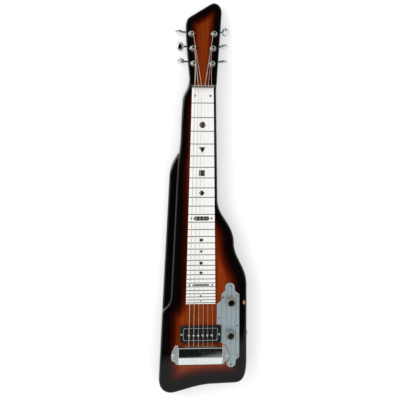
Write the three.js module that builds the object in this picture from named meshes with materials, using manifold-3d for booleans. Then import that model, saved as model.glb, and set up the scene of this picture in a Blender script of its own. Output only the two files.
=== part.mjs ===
// A six-string electric lap steel guitar: a solid sunburst body that lies flat on its back, with a raised nut
// and bridge, a screwed-on plastic fingerboard, three tuning machines on each side of the head, one pickup,
// a folded bridge cover and a pressed control plate with two knobs.
// Millimetres. X runs from the bass side to the treble side, Y from the bridge to the head, and Z up from the
// flat back. The origin is on the back, under the edge of the nut where the strings start to sound.
import * as THREE from "three";
import { mergeVertices } from "three/addons/utils/BufferGeometryUtils.js";
import Module from "manifold-3d";

const wasm = await Module();
wasm.setup();

// Driving dimensions: the strings
const scaleLength = 571.5;
const stringCount = 6;
const stringDiameters = [1.4, 1.07, 0.85, 0.65, 0.5, 0.42];
const spreadAtNut = 34.8;
const spreadAtBridge = 52.2;
const stringHeight = 12;
const seat = 0.3;

// Driving dimensions: the body
const bodyThickness = 42;
const edgeRound = 4;
const wingDrop = 14;
const neckEndHalf = 28.1;
const neckTrebleAtNut = 28.5;
const neckTrebleAtWaist = 34.2;
const waistTreble = 71.4;
const boutTreble = 104;
const boutBass = 90.7;
const deckBassAtNeck = 41;
const deckBassAtBend = 64.6;
const wingBassTop = 68.9;
const wingStart = 117;
const wingSweep = 78;
const shoulderPlace = 25;
const endBehindTreble = 82.5;
const endBehindBass = 101.5;
const cornerTreble = 54;
const cornerBass = 33;
const waistAhead = 335.5;
const flareAhead = 241.5;
const boutAhead = 141.5;
const bendAhead = 123.5;
const wingEndAhead = 77.5;

// Driving dimensions: the head
const headTilt = THREE.MathUtils.degToRad(7);
const headStart = 14;
const headThickness = 12.5;
const headPastTuners = 64;
const shortSidePastTuners = 38;
const headHalfBass = 35.6;
const headHalfTreble = 39.5;
const headRound = 2.5;

// Driving dimensions: the fingerboard and nut
const boardThickness = 3;
const boardWidthAtNut = 44.8;
const boardWidthAtEnd = 64.6;
const fretCount = 29;
const boardPastLastFret = 3;
const engraving = 0.4;
const fretLineWidth = 0.8;
const boardScrewInset = 6.6;
const boardScrewFromNut = 17;
const boardScrewFromEnd = 42.5;
const nutThickness = 5.3;
const nutWidth = 46.6;

// Driving dimensions: the tuning machines
const tunerRows = [49, 80.2, 110.2];
const tunerHalfGaps = [19.4, 21.3, 23.8];
const postRadius = 3;
const postHeight = 15;
const windHeight = 8.5;
const windTurns = 2.25;
const gearTeeth = 14;
const gearModule = 0.6;
const wormPitchRadius = 2.4;
const gearWidth = 2.5;
const housingDepth = 11.5;
const housingWidth = 15;
const buttonLength = 15.5;
const buttonWidth = 20;
const buttonThickness = 7;
const buttonReach = 17.6;
const buttonTurnsBass = [62, 4, 82];
const buttonTurnsTreble = [86, 74, 38];

// Driving dimensions: the pickup
const pickupAhead = 35.5;
const poleSpread = 50;
const poleMargin = 12.5;
const poleOffset = 2.4;
const poleRadius = 2.4;
const frameWidth = 28.5;
const ringEnd = 7.5;
const ringSide = 5.25;
const ringHeight = 5;
const pickupBelowStrings = 5;

// Driving dimensions: the bridge and its cover
const bridgeLength = 76;
const bridgeBehind = 27;
const bridgeAhead = 7;
const plateThickness = 2;
const wallHeight = 8;
const wallFromRear = 9;
const coverAhead = 8;
const foldBehind = 15.5;
const coverBehindBridge = 7.5;
const coverBesideBridge = 11.3;
const coverOverStrings = 4;
const coverSheet = 1;
const coverRearHeight = 5;
const footWidth = 4.7;
const earWidth = 10.3;
const earPastFront = 2;
const earFromRear = 5.5;

// Driving dimensions: the control plate, the knobs and the jack
const controlSheet = 1.5;
const knobBesideRing = 21;
const volumeAhead = 109;
const toneAhead = 34;
const knobRadius = 10;
const knobHeight = 13;
const shaftRadius = 3;
const bushRadius = 4.6;
const potRadius = 11.5;
const potHeight = 8.5;
const jackAhead = 30.9;
const jackBelowDeck = 20;
const jackRadius = 6;
const jackBore = 3.4;
const jackLength = 42;

// Worked out from the driving dimensions
const deckTop = bodyThickness;
const wingTop = bodyThickness - wingDrop;
const boardBottom = deckTop + seat;
const boardTop = boardBottom + boardThickness;
const stringPlane = deckTop + stringHeight;
const fretPlace = (fret) => scaleLength * (1 - 2 ** (-fret / 12));
const boardLength = fretPlace(fretCount) + boardPastLastFret;
const tiltedPlace = (row) => (row - headStart) / Math.cos(headTilt);
const headLength = tiltedPlace(tunerRows.at(-1)) + headPastTuners;
const headShortSide = tiltedPlace(tunerRows.at(-1)) + shortSidePastTuners;
const headFaceAt = (y) => deckTop - (y - headStart) * Math.tan(headTilt);
const bodyEndTreble = scaleLength + endBehindTreble;
const bodyEndBass = scaleLength + endBehindBass;

const pickupPlace = scaleLength - pickupAhead;
const frameLength = poleSpread + 2 * poleMargin;
const ringLength = frameLength + 2 * ringEnd;
const ringWidth = frameWidth + 2 * ringSide;
const ringTop = deckTop + seat + ringHeight;
const ringScrewX = (frameLength + ringLength) / 4;

const plateTop = deckTop + seat + plateThickness;
const bridgeRear = scaleLength + bridgeBehind;
const wallFront = bridgeRear - wallFromRear;
const wallRear = wallFront + plateThickness;
const bridgeScrewX = bridgeLength / 2 - 5;
const bridgeScrewPlace = scaleLength + 11;
const coverFront = scaleLength - coverAhead;
const coverFold = scaleLength + foldBehind;
const coverBack = bridgeRear + coverBehindBridge;
const coverHalf = bridgeLength / 2 + coverBesideBridge;
const coverTop = stringPlane + coverOverStrings;
const earFront = coverFront - earPastFront;
const earBack = coverBack - earFromRear;
const earScrewX = coverHalf + footWidth + earWidth * 0.55;
const earScrewPlace = (earFront + earBack) / 2 + 5;

const controlTop = deckTop + seat + controlSheet;
const knobX = ringLength / 2 + knobBesideRing;
const volumePlace = scaleLength - volumeAhead;
const tonePlace = scaleLength - toneAhead;
const jackPlace = scaleLength - jackAhead;
const jackHeight = deckTop - jackBelowDeck;

const earTop = deckTop + seat + coverSheet;

// Wood screws: the radius and height of the head, the radius and length of the shank, and the places
const screws = {
  ring: { head: [2.3, 1.3], shank: [1.1, 14], x: ringScrewX, place: pickupPlace, under: ringTop },
  bridge: { head: [3.2, 1.7], shank: [1.7, 16], x: bridgeScrewX, place: bridgeScrewPlace, under: plateTop },
  cover: { head: [3.4, 1.8], shank: [1.6, 14], x: earScrewX, place: earScrewPlace, under: earTop },
};

// Materials
const paint = (color, roughness, metalness) => new THREE.MeshStandardMaterial({ color, roughness, metalness });
const lacquer = paint(0x6e2408, 0.12, 0);
const whitePlastic = paint(0xf2f0ea, 0.35, 0);
const blackPlastic = paint(0x101010, 0.3, 0);
const chrome = paint(0xd8dadc, 0.08, 1);
const nickel = paint(0xb9b4a8, 0.25, 1);
const silverPlate = paint(0xa9b8be, 0.4, 0.8);
const stringWire = paint(0xb5a384, 0.35, 0.9);
const brass = paint(0xb08d46, 0.35, 1);
const copperWire = paint(0x7a3a1c, 0.4, 0.6);
const magnetBlack = paint(0x3a3a3c, 0.6, 0.3);
const creamInsulation = paint(0xd9d0b8, 0.6, 0);

const guitar = new THREE.Group();

// Puts a named solid into a group, and gives the mesh back for its place to be set.
function addPiece(name, geometry, material, parent = guitar) {
  const mesh = new THREE.Mesh(geometry, material);
  mesh.name = name;
  parent.add(mesh);
  return mesh;
}

// Solids for joining and cutting. A geometry without normals came out of a solid, and is merged already.
function toSolid(geometry) {
  const bare = geometry.clone();
  const isMerged = !bare.hasAttribute("normal");
  bare.deleteAttribute("normal");
  bare.deleteAttribute("uv");
  const merged = isMerged ? bare : mergeVertices(bare, 1e-4);
  const vertProperties = merged.attributes.position.array;
  const triVerts = new Uint32Array(merged.index.array);
  return new wasm.Manifold(new wasm.Mesh({ numProp: 3, vertProperties, triVerts }));
}

function toGeometry(solid) {
  const mesh = solid.getMesh();
  const geometry = new THREE.BufferGeometry();
  geometry.setAttribute("position", new THREE.BufferAttribute(mesh.vertProperties.slice(), 3));
  geometry.setIndex(new THREE.BufferAttribute(mesh.triVerts.slice(), 1));
  return geometry;
}

function cut(geometry, ...tools) {
  let solid = toSolid(geometry);
  for (const tool of tools) solid = solid.subtract(toSolid(tool));
  return toGeometry(solid);
}

function join(...geometries) {
  let solid = toSolid(geometries[0]);
  for (const other of geometries.slice(1)) solid = solid.add(toSolid(other));
  return toGeometry(solid);
}

function common(geometry, other) {
  return toGeometry(toSolid(geometry).intersect(toSolid(other)));
}

// A box given by its lowest and highest corners.
function block(x0, x1, y0, y1, z0, z1) {
  return new THREE.BoxGeometry(x1 - x0, y1 - y0, z1 - z0).translate((x0 + x1) / 2, (y0 + y1) / 2, (z0 + z1) / 2);
}

// A round bar standing on z0, at a point of the plan.
function bar(x, y, z0, z1, radius, sides = 24) {
  return new THREE.CylinderGeometry(radius, radius, z1 - z0, sides).rotateX(Math.PI / 2).translate(x, y, (z0 + z1) / 2);
}

// A round bar lying along X.
function sideBar(x0, x1, y, z, radius, sides = 24) {
  return new THREE.CylinderGeometry(radius, radius, x1 - x0, sides).rotateZ(Math.PI / 2).translate((x0 + x1) / 2, y, z);
}

// A round bar lying along X, from the middle line out to a reach on either side.
function reachBar(reach, y, z, radius, sides) {
  return sideBar(Math.min(0, reach), Math.max(0, reach), y, z, radius, sides);
}

// A turned piece about +Z, from its profile of radius and height.
function turned(profile, sides = 24) {
  return new THREE.LatheGeometry(profile.map(([r, z]) => new THREE.Vector2(r, z)), sides).rotateX(Math.PI / 2);
}

// A plate of any outline between two heights, with its edges rounded over when a radius is given.
function slab(shape, z0, z1, round = 0, curveSegments = 6, bevelSegments = 2) {
  const options = { depth: z1 - z0 - 2 * round, curveSegments, bevelEnabled: round > 0 };
  options.bevelThickness = round;
  options.bevelSize = round;
  options.bevelOffset = -round;
  options.bevelSegments = bevelSegments;
  return new THREE.ExtrudeGeometry(shape, options).translate(0, 0, z0 + round);
}

// A rectangle with round corners, about a centre.
function roundedRectangle(cx, cy, width, height, radius) {
  const shape = new THREE.Shape();
  const [x0, x1] = [cx - width / 2, cx + width / 2];
  const [y0, y1] = [cy - height / 2, cy + height / 2];
  shape.moveTo(x0 + radius, y0);
  shape.lineTo(x1 - radius, y0);
  shape.absarc(x1 - radius, y0 + radius, radius, -Math.PI / 2, 0);
  shape.lineTo(x1, y1 - radius);
  shape.absarc(x1 - radius, y1 - radius, radius, 0, Math.PI / 2);
  shape.lineTo(x0 + radius, y1);
  shape.absarc(x0 + radius, y1 - radius, radius, Math.PI / 2, Math.PI);
  shape.lineTo(x0, y0 + radius);
  shape.absarc(x0 + radius, y0 + radius, radius, Math.PI, 1.5 * Math.PI);
  return shape;
}

function polygon(points) {
  return new THREE.Shape(points.map(([x, y]) => new THREE.Vector2(x, y)));
}

// A route through given stations, so that a tube along it has a ring at each of them and nowhere else.
class Route extends THREE.Curve {
  constructor(stations) {
    super();
    this.stations = stations;
  }
  getPoint(t) {
    const place = t * (this.stations.length - 1);
    const i = Math.min(Math.floor(place), this.stations.length - 2);
    return new THREE.Vector3().lerpVectors(this.stations[i], this.stations[i + 1], place - i);
  }
  getPointAt(t) {
    return this.getPoint(t);
  }
  getTangentAt(t) {
    const i = Math.round(t * (this.stations.length - 1));
    const before = this.stations[Math.max(i - 1, 0)];
    const after = this.stations[Math.min(i + 1, this.stations.length - 1)];
    return new THREE.Vector3().subVectors(after, before).normalize();
  }
}

// An oval of a given number of sides.
function oval(halfX, halfY, sides) {
  const points = [];
  for (let i = 0; i < sides; i += 1) {
    const angle = (2 * Math.PI * i) / sides;
    points.push([halfX * Math.cos(angle), halfY * Math.sin(angle)]);
  }
  return polygon(points);
}

function tube(stations, radius, sides) {
  const options = { steps: stations.length - 1, extrudePath: new Route(stations), bevelEnabled: false };
  return new THREE.ExtrudeGeometry(oval(radius, radius, sides), options);
}

// A wood screw seen from above: a domed head with a cross slot, on a shank that runs down.
function screw(headRadius, headHeight, shankRadius, shankLength) {
  const profile = [
    [0, -shankLength],
    [shankRadius * 0.4, -shankLength],
    [shankRadius, -shankLength + 2 * shankRadius],
    [shankRadius, 0],
    [headRadius, 0],
    [headRadius * 0.6, headHeight * 0.9],
    [0, headHeight],
  ];
  const slotDepth = headHeight * 0.55;
  const slotWidth = headRadius * 0.28;
  const slotReach = headRadius * 0.6;
  const slots = [
    block(-slotReach, slotReach, -slotWidth / 2, slotWidth / 2, headHeight - slotDepth, headHeight + 1),
    block(-slotWidth / 2, slotWidth / 2, -slotReach, slotReach, headHeight - slotDepth, headHeight + 1),
  ];
  return cut(turned(profile, 8), ...slots);
}

// The two screws of one kind, a bass and a treble one.
function addScrewPair(kind) {
  const { head, shank, x, place, under } = screws[kind];
  for (const side of [-1, 1]) {
    const name = `${kind}_screw_${side < 0 ? "bass" : "treble"}`;
    addPiece(name, screw(...head, ...shank), chrome).position.set(side * x, -place, under + seat);
  }
}

// The body's plan. Its deck is narrow beside the strings, and flares out to a wide lower end on both sides.
function deckOutline() {
  const shape = new THREE.Shape();
  const under = headStart + 20;
  const heelHalf = neckEndHalf - 1.5;
  shape.moveTo(heelHalf, under);
  shape.lineTo(heelHalf, headStart);
  shape.lineTo(neckEndHalf + 1.3, 8);
  shape.bezierCurveTo(neckEndHalf + 1.2, 0, neckTrebleAtNut, 0, neckTrebleAtNut, -8);
  const waist = waistAhead - scaleLength;
  const flare = flareAhead - scaleLength;
  const bout = boutAhead - scaleLength;
  const bend = bendAhead - scaleLength;
  const wingEnd = wingEndAhead - scaleLength;
  const [endT, endB] = [-bodyEndTreble, -bodyEndBass];
  shape.lineTo(neckTrebleAtWaist, waist);
  shape.bezierCurveTo(neckTrebleAtWaist + 0.6, waist - 40, waistTreble - 4.4, flare + 45, waistTreble, flare);
  shape.bezierCurveTo(waistTreble - 0.4, flare - 38, boutTreble - 3, bout + 46, boutTreble - 3, bout);
  shape.lineTo(boutTreble, endT + cornerTreble);
  shape.bezierCurveTo(boutTreble, endT + 20, boutTreble - 5.5, endT + 3, boutTreble - 26, endT + 2);
  shape.lineTo(20, endT);
  shape.bezierCurveTo(-14, endT - 3.5, -38, endB + 4.5, 28.7 - boutBass, endB);
  shape.bezierCurveTo(10.7 - boutBass, endB - 0.5, -boutBass, endB + 11, -boutBass, endB + cornerBass);
  shape.lineTo(6.8 - boutBass, wingEnd);
  shape.bezierCurveTo(7.6 - boutBass, wingEnd + 22, -deckBassAtBend - 0.7, bend - 30, -deckBassAtBend, bend);
  const [low, middle, high] = [-wingStart - 63, 9 - wingStart, -shoulderPlace];
  const beside = -deckBassAtNeck;
  shape.lineTo(beside - 11.4, low);
  shape.bezierCurveTo(beside - 10, low + 30, beside - 5, middle - 22, beside - 4.2, middle);
  shape.bezierCurveTo(beside - 3.6, middle + 24, beside - 2.2, high - 25, beside, high);
  shape.bezierCurveTo(beside + 1.4, high / 2, -neckEndHalf - 1.7, -6, -neckEndHalf, headStart - 2);
  shape.lineTo(-heelHalf, headStart);
  shape.lineTo(-heelHalf, under);
  return shape;
}

// The lower terrace on the bass side, from the neck down to where the deck has come out to meet it.
function wingOutline() {
  const shape = new THREE.Shape();
  const inset = 0.4;
  const edge = inset - wingBassTop;
  const low = inset + 6.8 - boutBass;
  const wingEnd = wingEndAhead - scaleLength;
  const swept = -wingStart - wingSweep;
  shape.moveTo(11 - deckBassAtNeck, -wingStart);
  shape.bezierCurveTo(-deckBassAtNeck - 5, -wingStart - 0.23 * wingSweep, edge, swept + 35, edge, swept);
  shape.lineTo(low, wingEnd);
  shape.bezierCurveTo(low - 1, wingEnd - 22, 20.7 - boutBass, wingEnd - 34, 45.7 - boutBass, wingEnd - 34);
  return shape;
}

// The side view between the body's back and the back of the head, taken away from under the neck's end.
function heelCutter() {
  const far = headStart + 40;
  const root = headStart + 18;
  const headBackAt = (y) => headFaceAt(y) - headThickness;
  const shape = new THREE.Shape();
  shape.moveTo(headStart - 7, -edgeRound);
  shape.bezierCurveTo(headStart - 3, 14, headStart + 2, headBackAt(headStart + 10), root, headBackAt(root));
  shape.lineTo(far, headBackAt(far));
  shape.lineTo(far, -edgeRound);
  return acrossX(shape, 4 * headHalfTreble, 8);
}

// The head's plan in its own tilted plane: u across, v from the start of its slope to its tip.
function headOutline() {
  const shape = new THREE.Shape();
  const root = 0;
  shape.moveTo(neckEndHalf + 1.7, root);
  shape.lineTo(neckEndHalf + 2.1, 6);
  const [low, high] = [0.313 * headLength, 0.575 * headLength];
  shape.bezierCurveTo(neckEndHalf + 4.9, low, headHalfTreble - 2.9, high, headHalfTreble, headLength - 19);
  const apex = headHalfTreble - 15;
  shape.bezierCurveTo(headHalfTreble, headLength - 8, headHalfTreble - 8, headLength, apex, headLength);
  shape.bezierCurveTo(apex - 5, headLength, apex - 6, headLength - 1, apex - 12, headLength - 4.6);
  const bass = -headHalfBass;
  const shoulder = headShortSide - 23;
  shape.lineTo(bass + 10, headShortSide - 2);
  shape.bezierCurveTo(bass + 3, headShortSide - 6, bass, headShortSide - 14, bass, shoulder);
  shape.bezierCurveTo(bass, shoulder - 38, -neckEndHalf - 2, 30, -neckEndHalf, 6);
  shape.lineTo(-neckEndHalf, root);
  return shape;
}

const headFrame = new THREE.Group();
headFrame.position.set(0, headStart, deckTop);
headFrame.rotation.x = -headTilt;
headFrame.updateMatrix();
guitar.add(headFrame);

// Cavities and holes in the wood. The control cavity stays under the plate, with room round the two pots.
const pickupCavityDepth = 25;
const pickupCavity = { length: ringLength - 12, width: ringWidth - 8 };
const cavityFloor = 8;
const channelLevel = deckTop - 18;
const besidePot = 2;
const beyondPot = 3;
const controlCavity = {
  x0: knobX - potRadius - besidePot,
  x1: knobX + potRadius + besidePot,
  y0: -tonePlace - potRadius - beyondPot,
  y1: -volumePlace + potRadius + beyondPot,
};
const tunerHoleRadius = postRadius + 1.9;

function bodySolid() {
  const deck = slab(deckOutline(), 0, deckTop, edgeRound, 5);
  const wing = slab(wingOutline(), 0, wingTop, edgeRound, 5);
  const aboveNeck = 2 * neckEndHalf;
  const aboveHead = block(-aboveNeck, aboveNeck, 0, aboveNeck, 0, bodyThickness).applyMatrix4(headFrame.matrix);
  const head = slab(headOutline(), -headThickness, 0, headRound, 6, 2).applyMatrix4(headFrame.matrix);
  let solid = toSolid(deck).add(toSolid(wing));
  solid = solid.subtract(toSolid(heelCutter())).subtract(toSolid(aboveHead));
  solid = solid.add(toSolid(head));
  const pickupHole = slab(
    roundedRectangle(0, -pickupPlace, pickupCavity.length, pickupCavity.width, 5),
    deckTop - pickupCavityDepth,
    deckTop + 5,
  );
  const c = controlCavity;
  const controlHole = slab(
    roundedRectangle((c.x0 + c.x1) / 2, (c.y0 + c.y1) / 2, c.x1 - c.x0, c.y1 - c.y0, 6),
    cavityFloor,
    deckTop + 5,
  );
  const channel = sideBar(pickupCavity.length / 2 - 6, c.x0 + 4, -pickupPlace, channelLevel, 4, 12);
  const jackHole = sideBar(c.x1 - 4, boutTreble + 10, -jackPlace, jackHeight, jackRadius + seat, 24);
  const pilots = Object.values(screws).flatMap(({ shank, x, place, under }) => {
    return [-1, 1].map((side) => bar(side * x, -place, under - shank[1] - 1, deckTop + 1, shank[0] + seat, 8));
  });
  const tools = [pickupHole, controlHole, channel, jackHole, ...pilots];
  for (const tool of tools) solid = solid.subtract(toSolid(tool));
  for (const side of [-1, 1]) {
    tunerRows.forEach((row, i) => {
      const place = tiltedPlace(row);
      const hole = bar(side * tunerHalfGaps[i], place, -headThickness - 2, 2, tunerHoleRadius, 16);
      solid = solid.subtract(toSolid(hole.applyMatrix4(headFrame.matrix)));
    });
  }
  return toGeometry(solid);
}

addPiece("body", bodySolid(), lacquer);

// The fingerboard: a tapered white plate with engraved fret lines, held by six screws
const boardHalfAt = (d) => (boardWidthAtNut + ((boardWidthAtEnd - boardWidthAtNut) * d) / boardLength) / 2;

function boardSolid() {
  const start = seat;
  const shape = polygon([
    [-boardHalfAt(start), -start],
    [-boardHalfAt(boardLength), -boardLength],
    [boardHalfAt(boardLength), -boardLength],
    [boardHalfAt(start), -start],
  ]);
  const plate = slab(shape, boardBottom, boardTop, 0.5, 6, 1);
  const lines = [];
  for (let fret = 1; fret <= fretCount; fret += 1) {
    const d = fretPlace(fret);
    const half = boardHalfAt(d) + 1;
    const [y0, y1] = [-d - fretLineWidth / 2, -d + fretLineWidth / 2];
    lines.push(block(-half, half, y0, y1, boardTop - engraving, boardTop + 1));
  }
  const holes = boardScrewSpots().map(([x, y]) => bar(x, y, boardBottom - 1, boardTop + 1, 2, 12));
  return cut(plate, ...lines, ...holes);
}

// The middle pair stands between the eleventh and twelfth fret lines.
function boardScrewSpots() {
  const places = [boardScrewFromNut, fretPlace(11.5), boardLength - boardScrewFromEnd];
  return places.flatMap((d) => {
    const x = boardHalfAt(d) - boardScrewInset;
    return [[-x, -d], [x, -d]];
  });
}

addPiece("fingerboard", boardSolid(), whitePlastic);

// The nut: a metal bar with a groove for each string, raised well above the fingerboard
const nutCrest = nutThickness - 1.4;
const stringShare = (i) => i / (stringCount - 1) - 0.5;
const stringRadius = (i) => stringDiameters[i] / 2;
const stringXAt = (i, d) => stringShare(i) * (spreadAtNut + ((spreadAtBridge - spreadAtNut) * d) / scaleLength);

// A groove along Y for one string, with the string's clearance all round it.
function groove(i, d, reach) {
  const radius = stringRadius(i) + seat;
  return new THREE.CylinderGeometry(radius, radius, reach, 10).translate(stringXAt(i, d), -d, stringPlane);
}

function nutSolid() {
  const profile = polygon([
    [seat, boardBottom],
    [nutThickness, boardBottom],
    [nutThickness, stringPlane - 2.4],
    [nutCrest, stringPlane],
    [seat, stringPlane],
  ]);
  const prism = acrossX(profile, nutWidth);
  const grooves = stringDiameters.map((_, i) => groove(i, 0, 4 * nutThickness));
  return cut(prism, ...grooves);
}

// A profile drawn in Y and Z, run along X for a width centred on the middle line.
function acrossX(profile, width, curveSegments = 6) {
  const prism = new THREE.ExtrudeGeometry(profile, { depth: width, curveSegments, bevelEnabled: false });
  const yzToX = new THREE.Matrix4().makeBasis(
    new THREE.Vector3(0, 1, 0),
    new THREE.Vector3(0, 0, 1),
    new THREE.Vector3(1, 0, 0),
  );
  return prism.translate(0, 0, -width / 2).applyMatrix4(yzToX);
}

addPiece("nut", nutSolid(), nickel);

// The tuning machines: a worm on the button's shaft turns a gear on the post, inside a die-cast housing
const pitchRadius = (gearModule * gearTeeth) / 2;
const wormOffset = pitchRadius + wormPitchRadius;
const wormLead = Math.PI * gearModule;
const housingTop = -headThickness - seat;
const driveLevel = housingTop - housingDepth / 2;
const stemRadius = 1.8;
const threadRadius = 0.38;
const waistRadius = postRadius - 0.6;
const wellRoom = 0.9;
const wormHalf = 5.4;
const footRest = 1.2;
const sleeveTop = 4.6;
const housingNear = -7;
const housingFar = wormOffset + wormPitchRadius + wellRoom + 1.6;
const snoutLength = 2.4;
const footRadius = 1.5;
const gearRoot = pitchRadius - 0.7;
const gearTip = pitchRadius + 0.15;

function gearShape() {
  const points = [];
  const step = (2 * Math.PI) / gearTeeth;
  for (let tooth = 0; tooth < gearTeeth; tooth += 1) {
    const middle = Math.PI / 2 + (tooth + 0.5) * step;
    const corners = [[gearRoot, -0.5 * step + 0.02], [gearTip, -0.04], [gearTip, 0.04]];
    for (const [r, turn] of corners) points.push([r * Math.cos(middle + turn), r * Math.sin(middle + turn)]);
  }
  return polygon(points);
}

function postSolid() {
  const footTop = driveLevel - gearWidth / 2 - 0.4;
  const profile = [
    [0, housingTop - housingDepth + footRest],
    [footRadius, housingTop - housingDepth + footRest],
    [footRadius, footTop],
    [postRadius, footTop],
    [postRadius, sleeveTop + 0.2],
    [waistRadius, sleeveTop + 0.8],
    [waistRadius, postHeight - 3.4],
    [postRadius, postHeight - 2.8],
    [postRadius, postHeight - 0.6],
    [postRadius - 0.6, postHeight],
    [0, postHeight],
  ];
  const gear = slab(gearShape(), driveLevel - gearWidth / 2, driveLevel + gearWidth / 2);
  return join(turned(profile, 9), gear);
}

// The worm's thread: two turns of a spiral round the button's shaft, in mesh with the gear
function wormThread() {
  const turns = 2;
  const stepsPerTurn = 8;
  const stations = [];
  for (let i = 0; i <= turns * stepsPerTurn; i += 1) {
    const turn = i / stepsPerTurn - turns / 2;
    const angle = Math.PI + turn * 2 * Math.PI;
    const y = wormOffset + wormPitchRadius * Math.cos(angle);
    const z = driveLevel + wormPitchRadius * Math.sin(angle);
    stations.push(new THREE.Vector3(turn * wormLead, y, z));
  }
  return tube(stations, threadRadius, 3);
}

// The button's shaft lies along X. Each button rests at its own angle, as hand-turned ones do.
function buttonSolid(side, restTurn) {
  const core = sideBar(-wormHalf, wormHalf, wormOffset, driveLevel, wormPitchRadius - 0.3, 8);
  const stem = reachBar(side * (buttonReach + 3), wormOffset, driveLevel, stemRadius, 8);
  const disc = oval(buttonLength / 2, buttonWidth / 2, 14);
  const flat = slab(disc, -buttonThickness / 2, buttonThickness / 2, buttonThickness / 2 - 0.8, 1, 1);
  const collar = sideBar(-1.2, 1.2, 0, 0, 3.2, 8).translate(-side * (buttonLength / 2 - 0.2), 0, 0);
  const turn = THREE.MathUtils.degToRad(restTurn);
  const knob = join(flat, collar).rotateX(turn);
  knob.translate(side * (buttonReach + buttonLength / 2), wormOffset, driveLevel);
  return join(core, stem, knob, wormThread());
}

// The housing is hollow: a well for the gear, one for the worm, a bore for the shaft and a seat for the post's foot.
function housingSolid(side) {
  const bottom = housingTop - housingDepth;
  const middle = (housingNear + housingFar) / 2;
  const shape = roundedRectangle(0, middle, housingWidth, housingFar - housingNear, 4);
  const shell = slab(shape, bottom, housingTop, 1.2, 1, 1);
  const snout = side * (housingWidth / 2 + snoutLength);
  const collar = reachBar(snout, wormOffset, driveLevel, stemRadius + seat + 1.2, 8);
  const wormRoom = wormPitchRadius + wellRoom;
  const wormReach = wormHalf + 2 * seat;
  const gearWell = bar(0, 0, driveLevel - gearWidth / 2 - 1.3, 0, gearTip + wellRoom, 8);
  const wormWell = block(
    -wormReach,
    wormReach,
    wormOffset - wormRoom,
    wormOffset + wormRoom,
    driveLevel - wormRoom,
    0,
  );
  const footWell = bar(0, 0, bottom + footRest - seat, 0, footRadius + 2 * seat, 6);
  const bore = reachBar(2 * snout, wormOffset, driveLevel, stemRadius + seat, 8);
  return cut(join(shell, collar), gearWell, wormWell, footWell, bore);
}

// A flanged sleeve in the hole of the head, with a round nut above that the post turns in.
function bushingSolid() {
  const bore = postRadius + 0.4;
  const bottom = 3 - headThickness;
  const sleeve = tunerHoleRadius - seat;
  const profile = [
    [bore, bottom],
    [sleeve, bottom],
    [sleeve, seat],
    [sleeve + 1.9, seat],
    [sleeve + 1.9, 1],
    [sleeve + 1.2, 1.8],
    [sleeve + 0.9, sleeveTop - 0.6],
    [sleeve + 0.3, sleeveTop],
    [bore, sleeveTop],
    [bore, bottom],
  ];
  return turned(profile, 10);
}

for (const side of [-1, 1]) {
  const sideName = side < 0 ? "bass" : "treble";
  const turns = side < 0 ? buttonTurnsBass : buttonTurnsTreble;
  tunerRows.forEach((row, i) => {
    const machine = new THREE.Group();
    machine.position.set(side * tunerHalfGaps[i], tiltedPlace(row), 0);
    headFrame.add(machine);
    const label = `${sideName}_${i + 1}`;
    addPiece(`tuner_housing_${label}`, housingSolid(side), chrome, machine);
    addPiece(`tuner_post_${label}`, postSolid(), chrome, machine);
    addPiece(`tuner_button_${label}`, buttonSolid(side, turns[i]), chrome, machine);
    addPiece(`tuner_bushing_${label}`, bushingSolid(), chrome, machine);
  });
}

// The strings: each runs from its ball behind the bridge over the saddle and the nut, and winds onto its post
const anchorHeight = plateTop + 3.7;
const ballRadius = 1.9;
const windSteps = 8;
const windGap = 0.5;

function stringStations(i) {
  const side = i < stringCount / 2 ? -1 : 1;
  const row = side < 0 ? i : stringCount - 1 - i;
  const radius = stringRadius(i);
  const windRadius = waistRadius + seat + radius;
  const x = (d) => stringXAt(i, d);
  const overNut = new THREE.Vector3(x(0), nutCrest, stringPlane);
  const stations = [
    new THREE.Vector3(x(scaleLength), -wallRear - seat - ballRadius, anchorHeight),
    new THREE.Vector3(x(scaleLength), -wallFront + 1, anchorHeight),
    new THREE.Vector3(x(scaleLength), -scaleLength - 2, stringPlane - 0.2),
    new THREE.Vector3(x(scaleLength), -scaleLength, stringPlane),
    new THREE.Vector3(x(0), 0, stringPlane),
    overNut,
  ];
  const centre = new THREE.Vector2(side * tunerHalfGaps[row], tiltedPlace(tunerRows[row]));
  const local = overNut.clone().applyMatrix4(headFrame.matrix.clone().invert());
  const away = new THREE.Vector2(local.x, local.y).sub(centre);
  const start = away.angle() - side * Math.acos(windRadius / away.length());
  const pitch = stringDiameters[i] + windGap;
  const top = windHeight + 2;
  for (let k = 0; k <= windTurns * windSteps; k += 1) {
    const turn = k / windSteps;
    const angle = start - side * turn * 2 * Math.PI;
    const point = new THREE.Vector3(
      centre.x + windRadius * Math.cos(angle),
      centre.y + windRadius * Math.sin(angle),
      top - pitch * turn,
    );
    stations.push(point.applyMatrix4(headFrame.matrix));
  }
  return stations;
}

// The least gap between a string's own turns, measured on points along its middle line and less its thickness.
// Points closer than half a turn along the wire are its own neighbours, and don't count.
function leastGap(stations, diameter) {
  const perStep = 6;
  const points = [];
  for (let i = 0; i < stations.length - 1; i += 1) {
    for (let k = 0; k < perStep; k += 1) {
      points.push(new THREE.Vector3().lerpVectors(stations[i], stations[i + 1], k / perStep));
    }
  }
  const apart = (perStep * windSteps) / 2;
  let least = Infinity;
  for (let a = 0; a < points.length; a += 1) {
    for (let b = a + apart; b < points.length; b += 1) least = Math.min(least, points[a].distanceTo(points[b]));
  }
  return least - diameter;
}

function stringSolid(i) {
  const stations = stringStations(i);
  const gap = leastGap(stations, stringDiameters[i]);
  console.log(`string ${stringCount - i}: least gap between its turns ${gap.toFixed(2)} mm`);
  const ball = new THREE.SphereGeometry(ballRadius, 8, 5).translate(stations[0].x, stations[0].y, stations[0].z);
  return join(tube(stations, stringRadius(i), 5), ball);
}

for (let i = 0; i < stringCount; i += 1) addPiece(`string_${stringCount - i}`, stringSolid(i), stringWire);

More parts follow.
